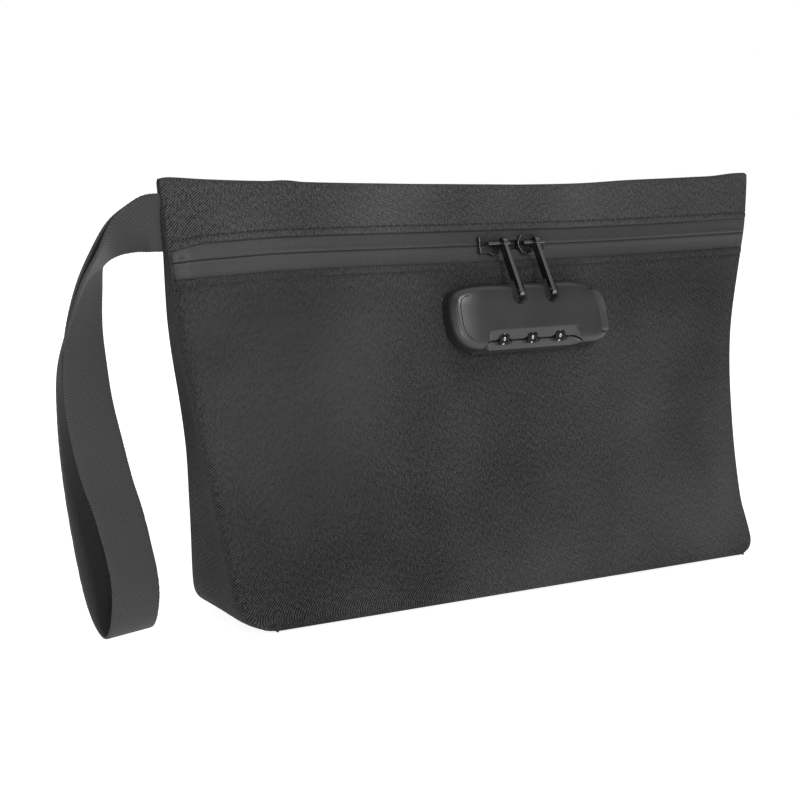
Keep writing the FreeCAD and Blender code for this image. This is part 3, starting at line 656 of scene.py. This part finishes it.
def pouch_cloth():
    """Front panel, header, back, gussets and base as one sewn shell with an opening for the zip."""
    cloth = Cloth()

    def front_rows(stations, group):
        rows = [[front_surface(u, s, out) for u in COLUMNS] for s, out in stations]
        marks = [[(u * PATTERN_WIDTH, -s) for u in COLUMNS] for s, out in stations]
        cloth.grid(rows, marks, group=group)

    panel = [(PANEL_START + 4.6, -2.0)] + [(PANEL_START + s, out) for s, out in HEM]
    panel += [(PANEL_START + 2.55, 0.12), (PANEL_START + PANEL_STITCH, STITCH_DIP)]
    panel += [(PANEL_START + 3.3, 0.1)]
    panel += [(s, 0.0) for s in depths(PANEL_START + 4.6, 156.0, 1.5)]
    panel += [(s, 0.0) for s in depths(156.6, BOTTOM, 0.8)]
    front_rows(panel, 0)
    head = [(s, 0.0) for s in depths(1.6, HEADER_END - 4.4, 1.4)]
    head += [(HEADER_END - 3.1, 0.1), (HEADER_END - HEADER_STITCH, STITCH_DIP)]
    head += [(HEADER_END - 2.1, 0.12)]
    head += [(HEADER_END - s, out) for s, out in reversed(HEM)] + [(HEADER_END - 4.6, -2.0)]
    # Group 1, the header, takes the lighter twill with its painted light.
    front_rows(RIDGE + head, 1)

    back_depths = depths(1.6, 156.0, 2.2) + depths(156.8, BOTTOM, 0.9)
    rows = [[back_surface(u, s) for u in COLUMNS] for s in back_depths]
    marks = [[(u * PATTERN_WIDTH + BACK_AT, -s) for u in COLUMNS] for s in back_depths]
    cloth.grid(rows, marks, flip=True)

    top_front = [front_surface(u, *RIDGE[0]) for u in COLUMNS]
    top_back = [back_surface(u, 1.6) for u in COLUMNS]
    ridge_rows = [top_front]
    for lift, share in ((0.45, 0.25), (0.6, 0.5), (0.35, 0.75)):
        rise = Vector((0, 0, lift * MM + 1.35 * MM * share * (1 - share)))
        ridge_rows.append([a.lerp(b, share) + rise for a, b in zip(top_front, top_back)])
    ridge_rows.append(top_back)
    marks = [[(u * PATTERN_WIDTH, 1.0 + k) for u in COLUMNS] for k in range(len(ridge_rows))]
    cloth.grid(ridge_rows, marks, flip=True)

    gusset_depths = depths(1.6, 156.0, 1.9) + depths(156.8, BOTTOM, 0.8)
    for side in (-1, 1):
        rows, marks = [], []
        for s in gusset_depths:
            places = gusset_columns(side, s)
            rows.append([end_surface(side, v, s) for v in places])
            marks.append([(v * (6 + s * 0.25) + GUSSET_AT, -s) for v in places])
        cloth.grid(rows, marks, flip=side > 0)

        seam = 0.0 if side < 0 else 1.0
        rim = [row[0 if side < 0 else -1] for row in ridge_rows]
        rim += list(reversed(rows[0]))[1:]
        rim += [front_surface(seam, s, out) for s, out in reversed(RIDGE)]
        cloth.fan(rim)

    base_columns = gusset_columns(-1, BOTTOM)
    marks = [[(u * PATTERN_WIDTH + BASE_AT, v * 50) for u in COLUMNS] for v in base_columns]
    cloth.grid(base_rows(base_columns), marks)

    mesh = cloth.mesh("pouch_cloth")
    mesh.materials.append(CLOTH)
    mesh.materials.append(HEADER_PAINTED_LIGHT_TWILL)
    piece = new_piece("pouch_cloth", mesh, CLOTH, "bag")
    thicken(piece, 0.7 * MM)
    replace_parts(piece, "header_panel", "front_panel", "back_panel", "base_panel",
                "left_gusset", "right_gusset", "top_edge_binding")


LAYER_INSET = 0.05                    # foam and lining start this share of the width in


def panel_layer(name, surface, start, end, out, thickness, node):
    """A layer of foam or lining that follows a face of the pouch between two depths."""
    cloth = Cloth()
    stations = depths(start, end, 5.0)
    columns = [LAYER_INSET + (1 - 2 * LAYER_INSET) * i / 50 for i in range(51)]
    rows = [[surface(u, s, out) for u in columns] for s in stations]
    cloth.grid(rows, [[(u * PATTERN_WIDTH, -s) for u in columns] for s in stations])
    piece = new_piece(name, cloth.mesh(name), LINING, "bag")
    thicken(piece, thickness * MM, 0.0)
    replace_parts(piece, node)
    return piece


def inner_layers():
    """Foam and lining inside the front and the back."""
    layers = (
        ("front_foam", front_surface, 44.0, 158.0, -2.0, 1.6, "foam", "front_padding"),
        ("front_lining_cloth", front_surface, 44.0, 157.0, -3.3, 0.4, "lining", "front_lining"),
        ("back_foam", back_surface, 22.0, 156.0, -2.0, 1.6, "foam", "back_padding"),
        ("back_lining_cloth", back_surface, 22.0, 155.0, -3.3, 0.4, "lining", "back_lining"),
    )
    for name, surface, start, end, out, thickness, slot, node in layers:
        piece = panel_layer(name, surface, start, end, out, thickness, node)


# ---- the zip ----

# A tape's lip at the slit: distance from the slit and height, mm.
LIP = [
    (0.05, -3.0), (0.02, -2.3), (0.05, -1.95), (0.4, -1.74), (0.95, -1.66), (1.5, -1.76),
    (2.1, -1.9),
]


def parting(u):
    """How far a tape's lip stands back from the slit, mm: it is open between the two sliders."""
    x = -137.0 + PATTERN_WIDTH * u
    return 1.7 * soft_step(-4.0, 4.5, x) * (1.0 - soft_step(12.5, 21.0, x))


def tape_out(u, out):
    """The tape's height: it dips at the zip's left end and meets the panel at both side seams."""
    edge = min(u, 1.0 - u) * PATTERN_WIDTH
    hollow = 1.7 * (1.0 - soft_step(1.5, 7.5, u * PATTERN_WIDTH))
    return (out - hollow) * soft_step(0.0, 1.7, edge)


def zip_tapes():
    """Both tapes, each from its rolled lip to where it runs in under a hem."""
    for which, way in (("upper", -1), ("lower", 1)):
        cloth = Cloth()
        stations = [(SLIT + way * s, out) for s, out in LIP]
        stations += [(SLIT + way * (2.6 + 1.5 * k), -1.98 - 0.02 * k) for k in range(7)]
        columns = [i / 400 for i in range(401)]
        rows = []
        for s, out in stations:
            shift = way * (1.0 - soft_step(1.0, 6.0, abs(s - SLIT)))
            rows.append([front_surface(u, s + shift * parting(u), tape_out(u, out))
                         for u in columns])
        marks = [[(u * PATTERN_WIDTH, -s) for u in columns] for s, out in stations]
        cloth.grid(rows, marks, flip=way < 0)
        name = f"zip_tape_{which}"
        piece = new_piece(name, cloth.mesh(name), TAPE, "bag")
        thicken(piece, 0.35 * MM)
        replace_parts(piece, f"zipper_tape_{which}")


def tube(path, radius, sides=6):
    """Points and faces of a closed round tube along a path; radius is one number or one a point."""
    points = []
    for i, here in enumerate(path):
        along = (path[min(i + 1, len(path) - 1)] - path[max(i - 1, 0)]).normalized()
        side = along.cross(Vector((0, 0, 1)))
        if side.length < 0.1:
            side = along.cross(Vector((0, 1, 0)))
        side.normalize()
        up = side.cross(along)
        r = radius[i] if isinstance(radius, list) else radius
        for k in range(sides):
            angle = 2 * math.pi * k / sides
            points.append(here + side * math.cos(angle) * r + up * math.sin(angle) * r)
    last = (len(path) - 1) * sides
    caps = [tuple(reversed(range(sides))), tuple(range(last, last + sides))]
    return points, side_faces(len(path), sides) + caps


class Lump:
    """Collects many small shapes into one mesh."""

    def __init__(self):
        self.points, self.faces = [], []

    def add(self, points, faces):
        start = len(self.points)
        self.points.extend(points)
        self.faces.extend([tuple(start + k for k in face) for face in faces])

    def piece(self, name, material, slot):
        return new_piece(name, new_mesh(name, self.points, self.faces), material, "bag")


COIL_PITCH, COIL_LENGTH = 1.45, 258   # mm


def zip_coils():
    """Each coil as the row of hooked loops that its turns make at the slit."""
    count = int(COIL_LENGTH / COIL_PITCH)
    for which, way in (("upper", -1), ("lower", 1)):
        lump = Lump()
        for k in range(count):
            u = 0.03 + 0.94 * (k + (0.5 if way > 0 else 0.0)) / count
            path = [
                front_surface(u, SLIT + way * (1.5 + parting(u) * 0.5), -3.3),
                front_surface(u, SLIT + way * 0.35, -2.85),
                front_surface(u, SLIT - way * 0.28, -2.65),
                front_surface(u, SLIT - way * 0.30, -3.3),
                front_surface(u, SLIT + way * 0.4, -3.8),
            ]
            lump.add(*tube(path, 0.30 * MM))
        core = [front_surface(0.025 + 0.95 * i / 120, SLIT + way * 1.15, -3.55) for i in range(121)]
        lump.add(*tube(core, 0.55 * MM))
        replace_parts(lump.piece(f"zip_coil_{which}", COIL, "zip_coil"), f"zipper_coil_{which}")


def zip_stops():
    """A bent metal clamp across both coils at each end of the zip, under the tapes."""
    lump = Lump()
    for u in (0.024, 0.976):
        for reach in (-0.0022, 0.0022):
            path = [front_surface(u + reach, SLIT + 0.6 * k, -3.1 - 0.35 * abs(k) ** 1.4)
                    for k in range(-4, 5)]
            lump.add(*tube(path, 0.45 * MM, 8))
    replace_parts(lump.piece("zip_stop_clamps", BLACK_METAL, "black_metal"),
                "zipper_stop_left", "zipper_stop_right")


STITCH_PITCH, STITCH_RADIUS = 3.1, 0.30                    # mm
STITCH_LENGTH = STITCH_PITCH * 0.74
STITCH_SHAPE = ((-0.5, 0.6), (-0.16, 1), (-0.06, 1), (-0.16, 1), (-0.5, 0.6))  # height, thickness


def stitches():
    """The rows of thread along both hems beside the zip."""
    lump = Lump()
    thickness = [STITCH_RADIUS * share * MM for _, share in STITCH_SHAPE]
    for depth in (PANEL_START + PANEL_STITCH, HEADER_END - HEADER_STITCH):
        at = 5.0
        while at + STITCH_LENGTH < PATTERN_WIDTH - 5.0:
            path = [front_surface((at + STITCH_LENGTH * k / 4) / PATTERN_WIDTH, depth, height)
                    for k, (height, _) in enumerate(STITCH_SHAPE)]
            lump.add(*tube(path, thickness))
            at += STITCH_PITCH
    lump.piece("hem_stitches", THREAD, "pouch_cloth")


# ---- the wrist strap ----

# The loop: the webbing's middle line, mm, and the direction across it. Both ends run on into the
# side seam.
IN_SEAM, NEAR_SEAM_TURN = (0.0, 0.0, -1.0), (0.05, 0.08, -1.0)
STRAP = [
    ((-137.0, 9.0, 147.0), IN_SEAM), ((-139.8, 9.0, 147.0), IN_SEAM),
    ((-143.4, 9.2, 146.9), NEAR_SEAM_TURN), ((-149.0, 10.7, 145.5), (0.24, 0.41, -0.88)),
    ((-155.4, 12.8, 141.6), (0.38, 0.68, -0.62)), ((-160.6, 13.8, 134.8), (0.44, 0.85, -0.28)),
    ((-165.8, 14.9, 125.4), (0.50, 0.85, -0.12)), ((-170.8, 15.9, 112.5), (0.46, 0.88, -0.02)),
    ((-174.5, 16.0, 97.0), (0.53, 0.85, 0.00)), ((-173.5, 16.0, 79.0), (0.65, 0.76, 0.00)),
    ((-171.5, 14.5, 60.0), (0.75, 0.66, 0.00)), ((-168.5, 11.0, 39.0), (0.85, 0.52, 0.05)),
    ((-165.0, 7.0, 18.5), (0.91, 0.38, 0.12)), ((-162.0, 3.2, 6.5), (0.95, 0.30, 0.06)),
    ((-160.0, -2.0, 2.2), (0.95, 0.30, 0.00)), ((-159.5, -7.2, 9.0), (0.95, 0.27, -0.10)),
    ((-159.5, -8.0, 23.0), (0.96, 0.22, -0.18)), ((-162.5, -3.5, 44.0), (0.97, 0.22, -0.08)),
    ((-165.3, 0.5, 57.0), (0.98, 0.17, -0.06)), ((-167.4, 4.0, 70.5), (0.98, 0.18, -0.02)),
    ((-168.6, 8.0, 84.0), (0.96, 0.27, 0.00)), ((-168.6, 11.0, 97.0), (0.93, 0.36, -0.06)),
    ((-167.6, 13.3, 110.5), (0.85, 0.52, -0.10)), ((-164.8, 14.7, 124.5), (0.71, 0.68, -0.18)),
    ((-161.0, 15.7, 135.5), (0.52, 0.81, -0.28)), ((-155.5, 15.2, 143.0), (0.46, 0.76, -0.46)),
    ((-148.5, 13.2, 146.0), (0.37, 0.53, -0.77)), ((-143.4, 11.1, 146.9), NEAR_SEAM_TURN),
    ((-139.8, 10.9, 147.0), IN_SEAM), ((-137.0, 10.9, 147.0), IN_SEAM),
]
WEB_HALF, WEB_THICK = 10.25, 0.6      # half the webbing's width and half its thickness, mm
SCALLOP, SCALLOP_PITCH = 0.16, 2.6    # the woven edge's waves, mm


def smooth_value(values, at):
    """Catmull-Rom reading of a list of vectors at a fractional index."""
    i = min(int(at), len(values) - 2)
    t = at - i
    p0, p1 = values[max(i - 1, 0)], values[i]
    p2, p3 = values[i + 1], values[min(i + 2, len(values) - 1)]
    return (p1 * 2 + (p2 - p0) * t + (p0 * 2 - p1 * 5 + p2 * 4 - p3) * t * t
            + (p1 * 3 - p0 - p2 * 3 + p3) * t ** 3) * 0.5


def ribbon_mesh(name, stations, count):
    """Webbing with scalloped woven edges along (centre, direction across) stations, mm."""
    centres = [Vector(c) for c, _ in stations]
    acrosses = [Vector(w).normalized() for _, w in stations]
    steps = [i * (len(stations) - 1) / count for i in range(count + 1)]
    spine = [smooth_value(centres, at) for at in steps]
    widths = [smooth_value(acrosses, at).normalized() for at in steps]
    half = WEB_HALF
    profile = [(-half, 0.0), (-half + 0.25, 0.75), (-half + 0.9, 1.0)]
    profile += [(-half + 0.9 + (2 * half - 1.8) * k / 10, 1.0) for k in range(1, 10)]
    profile += [(half - 0.9, 1.0), (half - 0.25, 0.75), (half, 0.0)]
    loop = profile + [(w, -t) for w, t in reversed(profile[1:-1])]
    points, marks = [], []
    travelled = 0.0
    for i, (here, across) in enumerate(zip(spine, widths)):
        along = (spine[min(i + 1, count)] - spine[max(i - 1, 0)]).normalized()
        out = along.cross(across).normalized()
        if i:
            travelled += (here - spine[i - 1]).length
        scallop = SCALLOP * math.sin(travelled * 2 * math.pi / SCALLOP_PITCH)
        for w, t in loop:
            reach = w + math.copysign(scallop, w) * soft_step(half - 1.2, half, abs(w))
            points.append((here + across * reach + out * (t * WEB_THICK)) * MM)
            marks.append((w * MM, travelled * MM))
    ring = len(loop)
    caps = [tuple(reversed(range(ring))), tuple(range(count * ring, (count + 1) * ring))]
    mesh = new_mesh(name, points, side_faces(count + 1, ring) + caps)
    layer = mesh.uv_layers.new(name="cloth")
    for mark, corner in zip(layer.data, mesh.loops):
        mark.uv = marks[corner.vertex_index]
    return mesh


def strap_ribbon():
    """The wrist loop as one ribbon, from inside the seam round the loop outside it."""
    mesh = ribbon_mesh("wrist_strap_webbing", STRAP, 560)
    piece = add_object("wrist_strap_webbing", mesh)
    mesh.materials.append(WEBBING)
    for face in mesh.polygons:
        face.use_smooth = True
    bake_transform(piece)
    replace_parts(piece, "wrist_strap")


# ---- the lock ----

# The cover's sides as x and depth, its face's height and its foot's, mm.
LOCK_LEFT, LOCK_RIGHT, LOCK_TOP, LOCK_BOTTOM = -27.8, 46.0, 44.6, 70.3
LOCK_FACE, COVER_LOW = 9.5, 1.72
LOCK_OUTLINE = [
    (LOCK_LEFT, 58.0), (LOCK_LEFT, 49.5), (LOCK_LEFT + 3.0, 45.9), (LOCK_LEFT + 10.8, LOCK_TOP),
    (LOCK_RIGHT - 15.0, LOCK_TOP), (LOCK_RIGHT - 7.0, 46.6), (LOCK_RIGHT - 2.4, 50.6),
    (LOCK_RIGHT - 0.3, 56.0), (LOCK_RIGHT, LOCK_BOTTOM - 5.5),
    (LOCK_RIGHT - 1.7, LOCK_BOTTOM - 2.1), (LOCK_RIGHT - 6.0, LOCK_BOTTOM),
    (LOCK_LEFT + 9.3, LOCK_BOTTOM), (LOCK_LEFT + 4.2, LOCK_BOTTOM - 2.2),
    (LOCK_LEFT + 1.0, LOCK_BOTTOM - 6.3),
]
EDGE_ROUND = 2.8                      # the cover's rounded rim, mm
GROOVE_INSET, GROOVE_DEPTH = 3.3, 0.55   # the line beside the left end strip, mm
OVER_FACE = 13.0                      # a height clear of the cover's face, mm
# The second slot holds the dark copy of the lock plastic, painted shade.
FACE_SLOT, PAINTED_SHADE_SLOT = 0, 1           # the cover's materials
PULL_NOTCHES = (2.9, 18.5)            # x, mm

# The recess over the dials: a slope down to a dark slit, then the lip under it (depth, height).
SCOOP = [
    (62.2, 9.7), (63.0, 9.35), (65.0, 8.55), (66.3, 7.9), (66.38, 5.6), (66.85, 5.6),
    (66.93, 7.35), (67.6, 7.25), (69.0, 6.7), (71.5, 5.0),
]
# The tab's outer edge follows the lock's outline: depth and x, mm.
TAB_EDGE = [
    (46.4, 38.5), (48.5, 41.9), (50.6, 43.7), (53.0, 45.0), (56.0, 45.7), (60.0, 46.0),
    (66.5, 46.0),
]
TAB_TOP, TAB_LOW = 49.0, 65.7         # the tab's two ends, as depths
GAP_TOP, GAP_LOW = 48.2, 66.6         # the same for the opening it sits in

DIALS = ((-6.0, "dial_one"), (7.5, "dial_two"), (21.0, "dial_three"))
AXLE_S, AXLE_D, DIAL_R = 65.0, 4.6, 4.1
DIGIT_SIZE, DIGIT_WIDTH, DIGIT_HEIGHT = 2.1, 0.85, 0.06
DIGIT_STEP, SHOWN_AT = math.radians(36), math.radians(21)


def rounded_outline(corners, rounds=4):
    """Cuts the corners of a closed outline again and again, until it is a smooth curve."""
    points = [Vector(c) for c in corners]
    for _ in range(rounds):
        cut = []
        for i, here in enumerate(points):
            after = points[(i + 1) % len(points)]
            run = (after - here).length
            share = min(0.25, 2.2 / max(run, 0.01))
            cut += [here.lerp(after, share), here.lerp(after, 1 - share)]
        points = cut
    return points


def face_height(x, s):
    """The lock's face, mm: highest in the middle, falling away to its ends and long edges."""
    left = max(0.0, (LOCK_LEFT + 15.0 - x) / 15.0) ** 2
    top = max(0.0, (LOCK_TOP + 7.5 - s) / 7.5) ** 2
    right = max(0.0, (x - LOCK_RIGHT + 18.0) / 18.0) ** 2
    low = max(0.0, (s - LOCK_BOTTOM + 5.0) / 5.0) ** 2
    return LOCK_FACE - 2.5 * left - 0.9 * top - 0.4 * right - 0.5 * low


def prism(outline, low, high, top_outline=None):
    """A closed mesh between two heights above the panel; its top may be wider than its foot."""
    count = len(outline)
    points = [front(x, s, low) for x, s in outline]
    points += [front(x, s, high) for x, s in top_outline or outline]
    faces = [tuple(range(count)), tuple(reversed(range(count, 2 * count)))]
    faces += [(i, i + count, (i + 1) % count + count, (i + 1) % count) for i in range(count)]
    return new_mesh("cutter", points, faces)


def scoop_cutter():
    """Follows the recess's own lines, which drop and fade at both its ends."""
    xs = depths(-19.0, 35.0, 0.75)
    points, faces = [], []
    for top in (False, True):
        for x in xs:
            fade = 1.0 - soft_step(-18.0, -12.0, x) * (1.0 - soft_step(27.5, 34.0, x))
            for s, d in SCOOP:
                height = OVER_FACE + 1.0 if top else d + 2.6 * fade
                points.append(front(x, s + 0.25 + 3.6 * fade, height))
    n, half = len(SCOOP), len(xs) * len(SCOOP)
    for i in range(len(xs) - 1):
        for j in range(n - 1):
            a, b, c, d = i * n + j, (i + 1) * n + j, (i + 1) * n + j + 1, i * n + j + 1
            faces += [(a, b, c, d), (d + half, c + half, b + half, a + half)]
    rim = [i * n for i in range(len(xs))] + [(len(xs) - 1) * n + j for j in range(1, n)]
    rim += [i * n + n - 1 for i in reversed(range(len(xs) - 1))] + list(reversed(range(1, n - 1)))
    for here, after in zip(rim, rim[1:] + rim[:1]):
        faces.append((here, here + half, after + half, after))
    return new_mesh("cutter", points, faces)


def cut_out(piece, mesh, finish=FACE_SLOT):
    """Takes a closed mesh out of a piece; finish is the material slot of the cut's own faces, the
    dark one giving them painted shade.
    """
    for material in (LOCK, LOCK_PAINTED_SHADE):
        mesh.materials.append(material)
    face_outwards(mesh)
    for face in mesh.polygons:
        face.material_index = finish
    cutter = add_object("cutter", mesh)
    modifier = piece.modifiers.new("cut", "BOOLEAN")
    modifier.operation, modifier.solver, modifier.object = "DIFFERENCE", "EXACT", cutter
    bpy.context.view_layer.update()
    apply_modifiers(piece)
    bpy.data.objects.remove(cutter)


def notch_outline(x, half):
    """A round-ended slot that comes in from the cover's upper edge."""
    turns = [math.radians(a) for a in range(0, 181, 12)]
    round_end = [(x + half * math.cos(t), 49.75 + half * math.sin(t)) for t in turns]
    return [(x - half, 42.0), (x + half, 42.0)] + round_end


def oval(x, s, wide, deep, power=2.0):
    """An ellipse, or with a higher power a rounded rectangle."""
    points = []
    for k in range(32):
        across, down = math.cos(2 * math.pi * k / 32), math.sin(2 * math.pi * k / 32)
        points.append((x + wide * math.copysign(abs(across) ** (2 / power), across),
                       s + deep * math.copysign(abs(down) ** (2 / power), down)))
    return points


def tab_opening(travel):
    """The opening for the tab, with room on its left for the tab's travel."""
    inner = [(table(TAB_EDGE, at) - 4.5 - travel, at) for at in depths(GAP_TOP, GAP_LOW, 1.0)]
    return [(LOCK_RIGHT + 3, GAP_LOW), (LOCK_RIGHT + 3, GAP_TOP)] + inner


def release_tab():
    """The thumb tab: a curved, finely ribbed face that rolls over the lock's right end."""
    cloth = Cloth()
    profile = [(4.1, 7.0), (4.1, 8.1), (3.9, 8.35)]
    for k in range(8):
        at = 3.55 - 0.4 * k
        profile += [(at + 0.16, 8.46), (at + 0.04, 8.34), (at - 0.06, 8.34), (at - 0.16, 8.46)]
    profile += [(0.45, 8.35), (0.2, 8.1), (0.05, 7.6), (0.0, 7.0), (0.0, 2.0)]
    stations = [TAB_TOP, TAB_TOP + 0.15] + depths(49.5, 65.2, 0.8) + [65.55, TAB_LOW]
    rows = []
    for s in stations:
        drop = 0.5 * (1.0 - soft_step(0.0, 0.6, min(s - TAB_TOP, TAB_LOW - s)))
        rows.append([front(table(TAB_EDGE, s) - back, s, d - drop) for back, d in profile])
    cloth.grid(rows, [[(back, s) for back, d in profile] for s in stations])
    name = "release_tab_shell"
    piece = new_piece(name, cloth.mesh(name), TAB, "release")
    thicken(piece, 0.9 * MM)
    piece.data.set_sharp_from_angle(angle=math.radians(50))
    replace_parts(piece, "release_tab")


def cover_rings():
    """The cover's surface as rings of points, from its foot over the rounded rim to the middle."""
    ring = rounded_outline(LOCK_OUTLINE)
    count = len(ring)
    inward = []
    for i in range(count):
        along = (ring[(i + 1) % count] - ring[i - 1]).normalized()
        inward.append(Vector((-along.y, along.x)))
    middle = sum(ring, Vector((0, 0))) / count
    if inward[0].dot(middle - ring[0]) < 0:
        inward = [-v for v in inward]
    rings = [[front(p.x, p.y, low) for p in ring] for low in (COVER_LOW, 2.6)]
    turns = [math.radians(a) for a in (15, 30, 45, 58, 70, 80, 90)]
    marks = [0.0] + [EDGE_ROUND * (1 - math.cos(turn)) for turn in turns]
    marks += [3.0, 3.15, GROOVE_INSET, 3.45, 3.6]
    inner = []
    for inset in marks:
        drop = EDGE_ROUND - math.sqrt(max(0.0, EDGE_ROUND ** 2 - max(0.0, EDGE_ROUND - inset) ** 2))
        inner = [p + n * inset for p, n in zip(ring, inward)]
        row = []
        for p in inner:
            at_strip = p.x < LOCK_LEFT + 7.0 and 47.5 < p.y < 66.5
            groove = GROOVE_DEPTH if at_strip and inset == GROOVE_INSET else 0.0
            row.append(front(p.x, p.y, face_height(p.x, p.y) - drop - groove))
        rings.append(row)
    for step in range(1, 15):
        row = []
        for p in inner:
            spine = Vector((min(max(p.x, LOCK_LEFT + 14.0), LOCK_RIGHT - 14.0), 57.4))
            q = p.lerp(spine, step / 15)
            row.append(front(q.x, q.y, face_height(q.x, q.y)))
        rings.append(row)
    return rings


def lock_cover():
    """The crowned cover, with its notches, dial recess, windows and opening for the tab."""
    rings = cover_rings()
    count = len(rings[0])
    last = (len(rings) - 1) * count
    faces = [tuple(reversed(range(count)))] + side_faces(len(rings), count)
    faces.append(tuple(range(last, last + count)))
    mesh = new_mesh("lock_cover_shell", [p for row in rings for p in row], faces)
    face_outwards(mesh)
    mesh.materials.append(LOCK)
    mesh.materials.append(LOCK_PAINTED_SHADE)
    for face in mesh.polygons:
        # The foot's side wall towards the left end takes the dark copy: painted shade on the face
        # turned from the light.
        if 0 < face.index <= 2 * count and face.center.x / MM < LOCK_LEFT + 12.0:
            face.material_index = PAINTED_SHADE_SLOT
    piece = new_piece("lock_cover_shell", mesh, LOCK, "bag")
    for x in PULL_NOTCHES:
        cut_out(piece, prism(notch_outline(x, 2.75), 4.6, OVER_FACE))
        cut_out(piece, prism(notch_outline(x, 2.70), 8.3, 10.3, notch_outline(x, 4.0)))
    cut_out(piece, scoop_cutter())
    # The scallops, dial windows and the tab's opening are cut with dark faces: painted shade inside
    # them.
    for x, _ in DIALS:
        cut_out(piece, prism(oval(x - 0.3, 67.3, 4.6, 1.5), 6.95, OVER_FACE), PAINTED_SHADE_SLOT)
        cut_out(piece, prism(oval(x, 65.95, 2.5, 1.65, 2.8), 0.5, OVER_FACE), PAINTED_SHADE_SLOT)
    cut_out(piece, prism(tab_opening(0.0), 1.9, OVER_FACE), PAINTED_SHADE_SLOT)
    cut_out(piece, prism(tab_opening(2.6), 1.9, 8.62), PAINTED_SHADE_SLOT)
    piece.data.set_sharp_from_angle(angle=math.radians(32))
    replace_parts(piece, "lock_cover")


def dial_digits():
    """The ten raised white digits round each dial, with 0 in the window."""
    for index, (x, body) in enumerate(DIALS, start=1):
        points, faces = [], []
        for digit in range(10):
            curve = bpy.data.curves.new(f"digit_{index}_{digit}", "FONT")
            curve.body = str(digit)
            curve.size = DIGIT_SIZE
            curve.align_x, curve.align_y = "CENTER", "CENTER"
            text = add_object(f"digit_{index}_{digit}", curve)
            bpy.context.view_layer.update()
            graph = bpy.context.evaluated_depsgraph_get()
            mesh = bpy.data.meshes.new_from_object(text.evaluated_get(graph))
            shape = bmesh.new()
            shape.from_mesh(mesh)
            ring = bmesh.ops.extrude_face_region(shape, geom=shape.faces[:])
            for vertex in ring["geom"]:
                if isinstance(vertex, bmesh.types.BMVert):
                    vertex.co.z = DIGIT_HEIGHT
            bmesh.ops.recalc_face_normals(shape, faces=shape.faces)
            start = len(points)
            middle = SHOWN_AT - DIGIT_STEP * digit
            for vertex in shape.verts:
                r = DIAL_R + 0.005 + vertex.co.z
                angle = middle - vertex.co.y / DIAL_R
                s, d = AXLE_S + r * math.sin(angle), AXLE_D + r * math.cos(angle)
                points.append(front(x + vertex.co.x * DIGIT_WIDTH, s, d))
            shape.verts.index_update()
            faces.extend([tuple(start + v.index for v in face.verts) for face in shape.faces])
            shape.free()
            bpy.data.objects.remove(text)
        name = f"dial_digits_{index}"
        new_piece(name, new_mesh(name, points, faces), DIGIT, body, smooth=False)


def cad_materials():
    """Better materials on the CAD nodes that stay."""
    chosen = (
        # The lock base and latch bar take the dark copy of the lock plastic, as painted shade.
        (LOCK_PAINTED_SHADE, ("lock_base", "latch_bar")),
        (DIAL, ("dial_1", "dial_2", "dial_3")),
        (BLACK_METAL, ("slider_left_body", "slider_right_body")),
        (BLACK_METAL, ("slider_left_bail", "slider_right_bail")),
        (PULL_METAL, ("pull_left_bar", "pull_right_bar")),
        (STEEL, ("lock_backing_plate", "lock_screws", "dial_axle")),
        (STEEL, ("dial_detent_spring", "reset_pin", "latch_spring")),
        (BOARD, ("base_board",)),
    )
    for material, names in chosen:
        for name in names:
            for slot in bpy.data.objects[name].material_slots:
                slot.material = material


pouch_cloth()
inner_layers()
zip_tapes()
zip_coils()
zip_stops()
stitches()
strap_ribbon()
lock_cover()
release_tab()
dial_digits()
cad_materials()
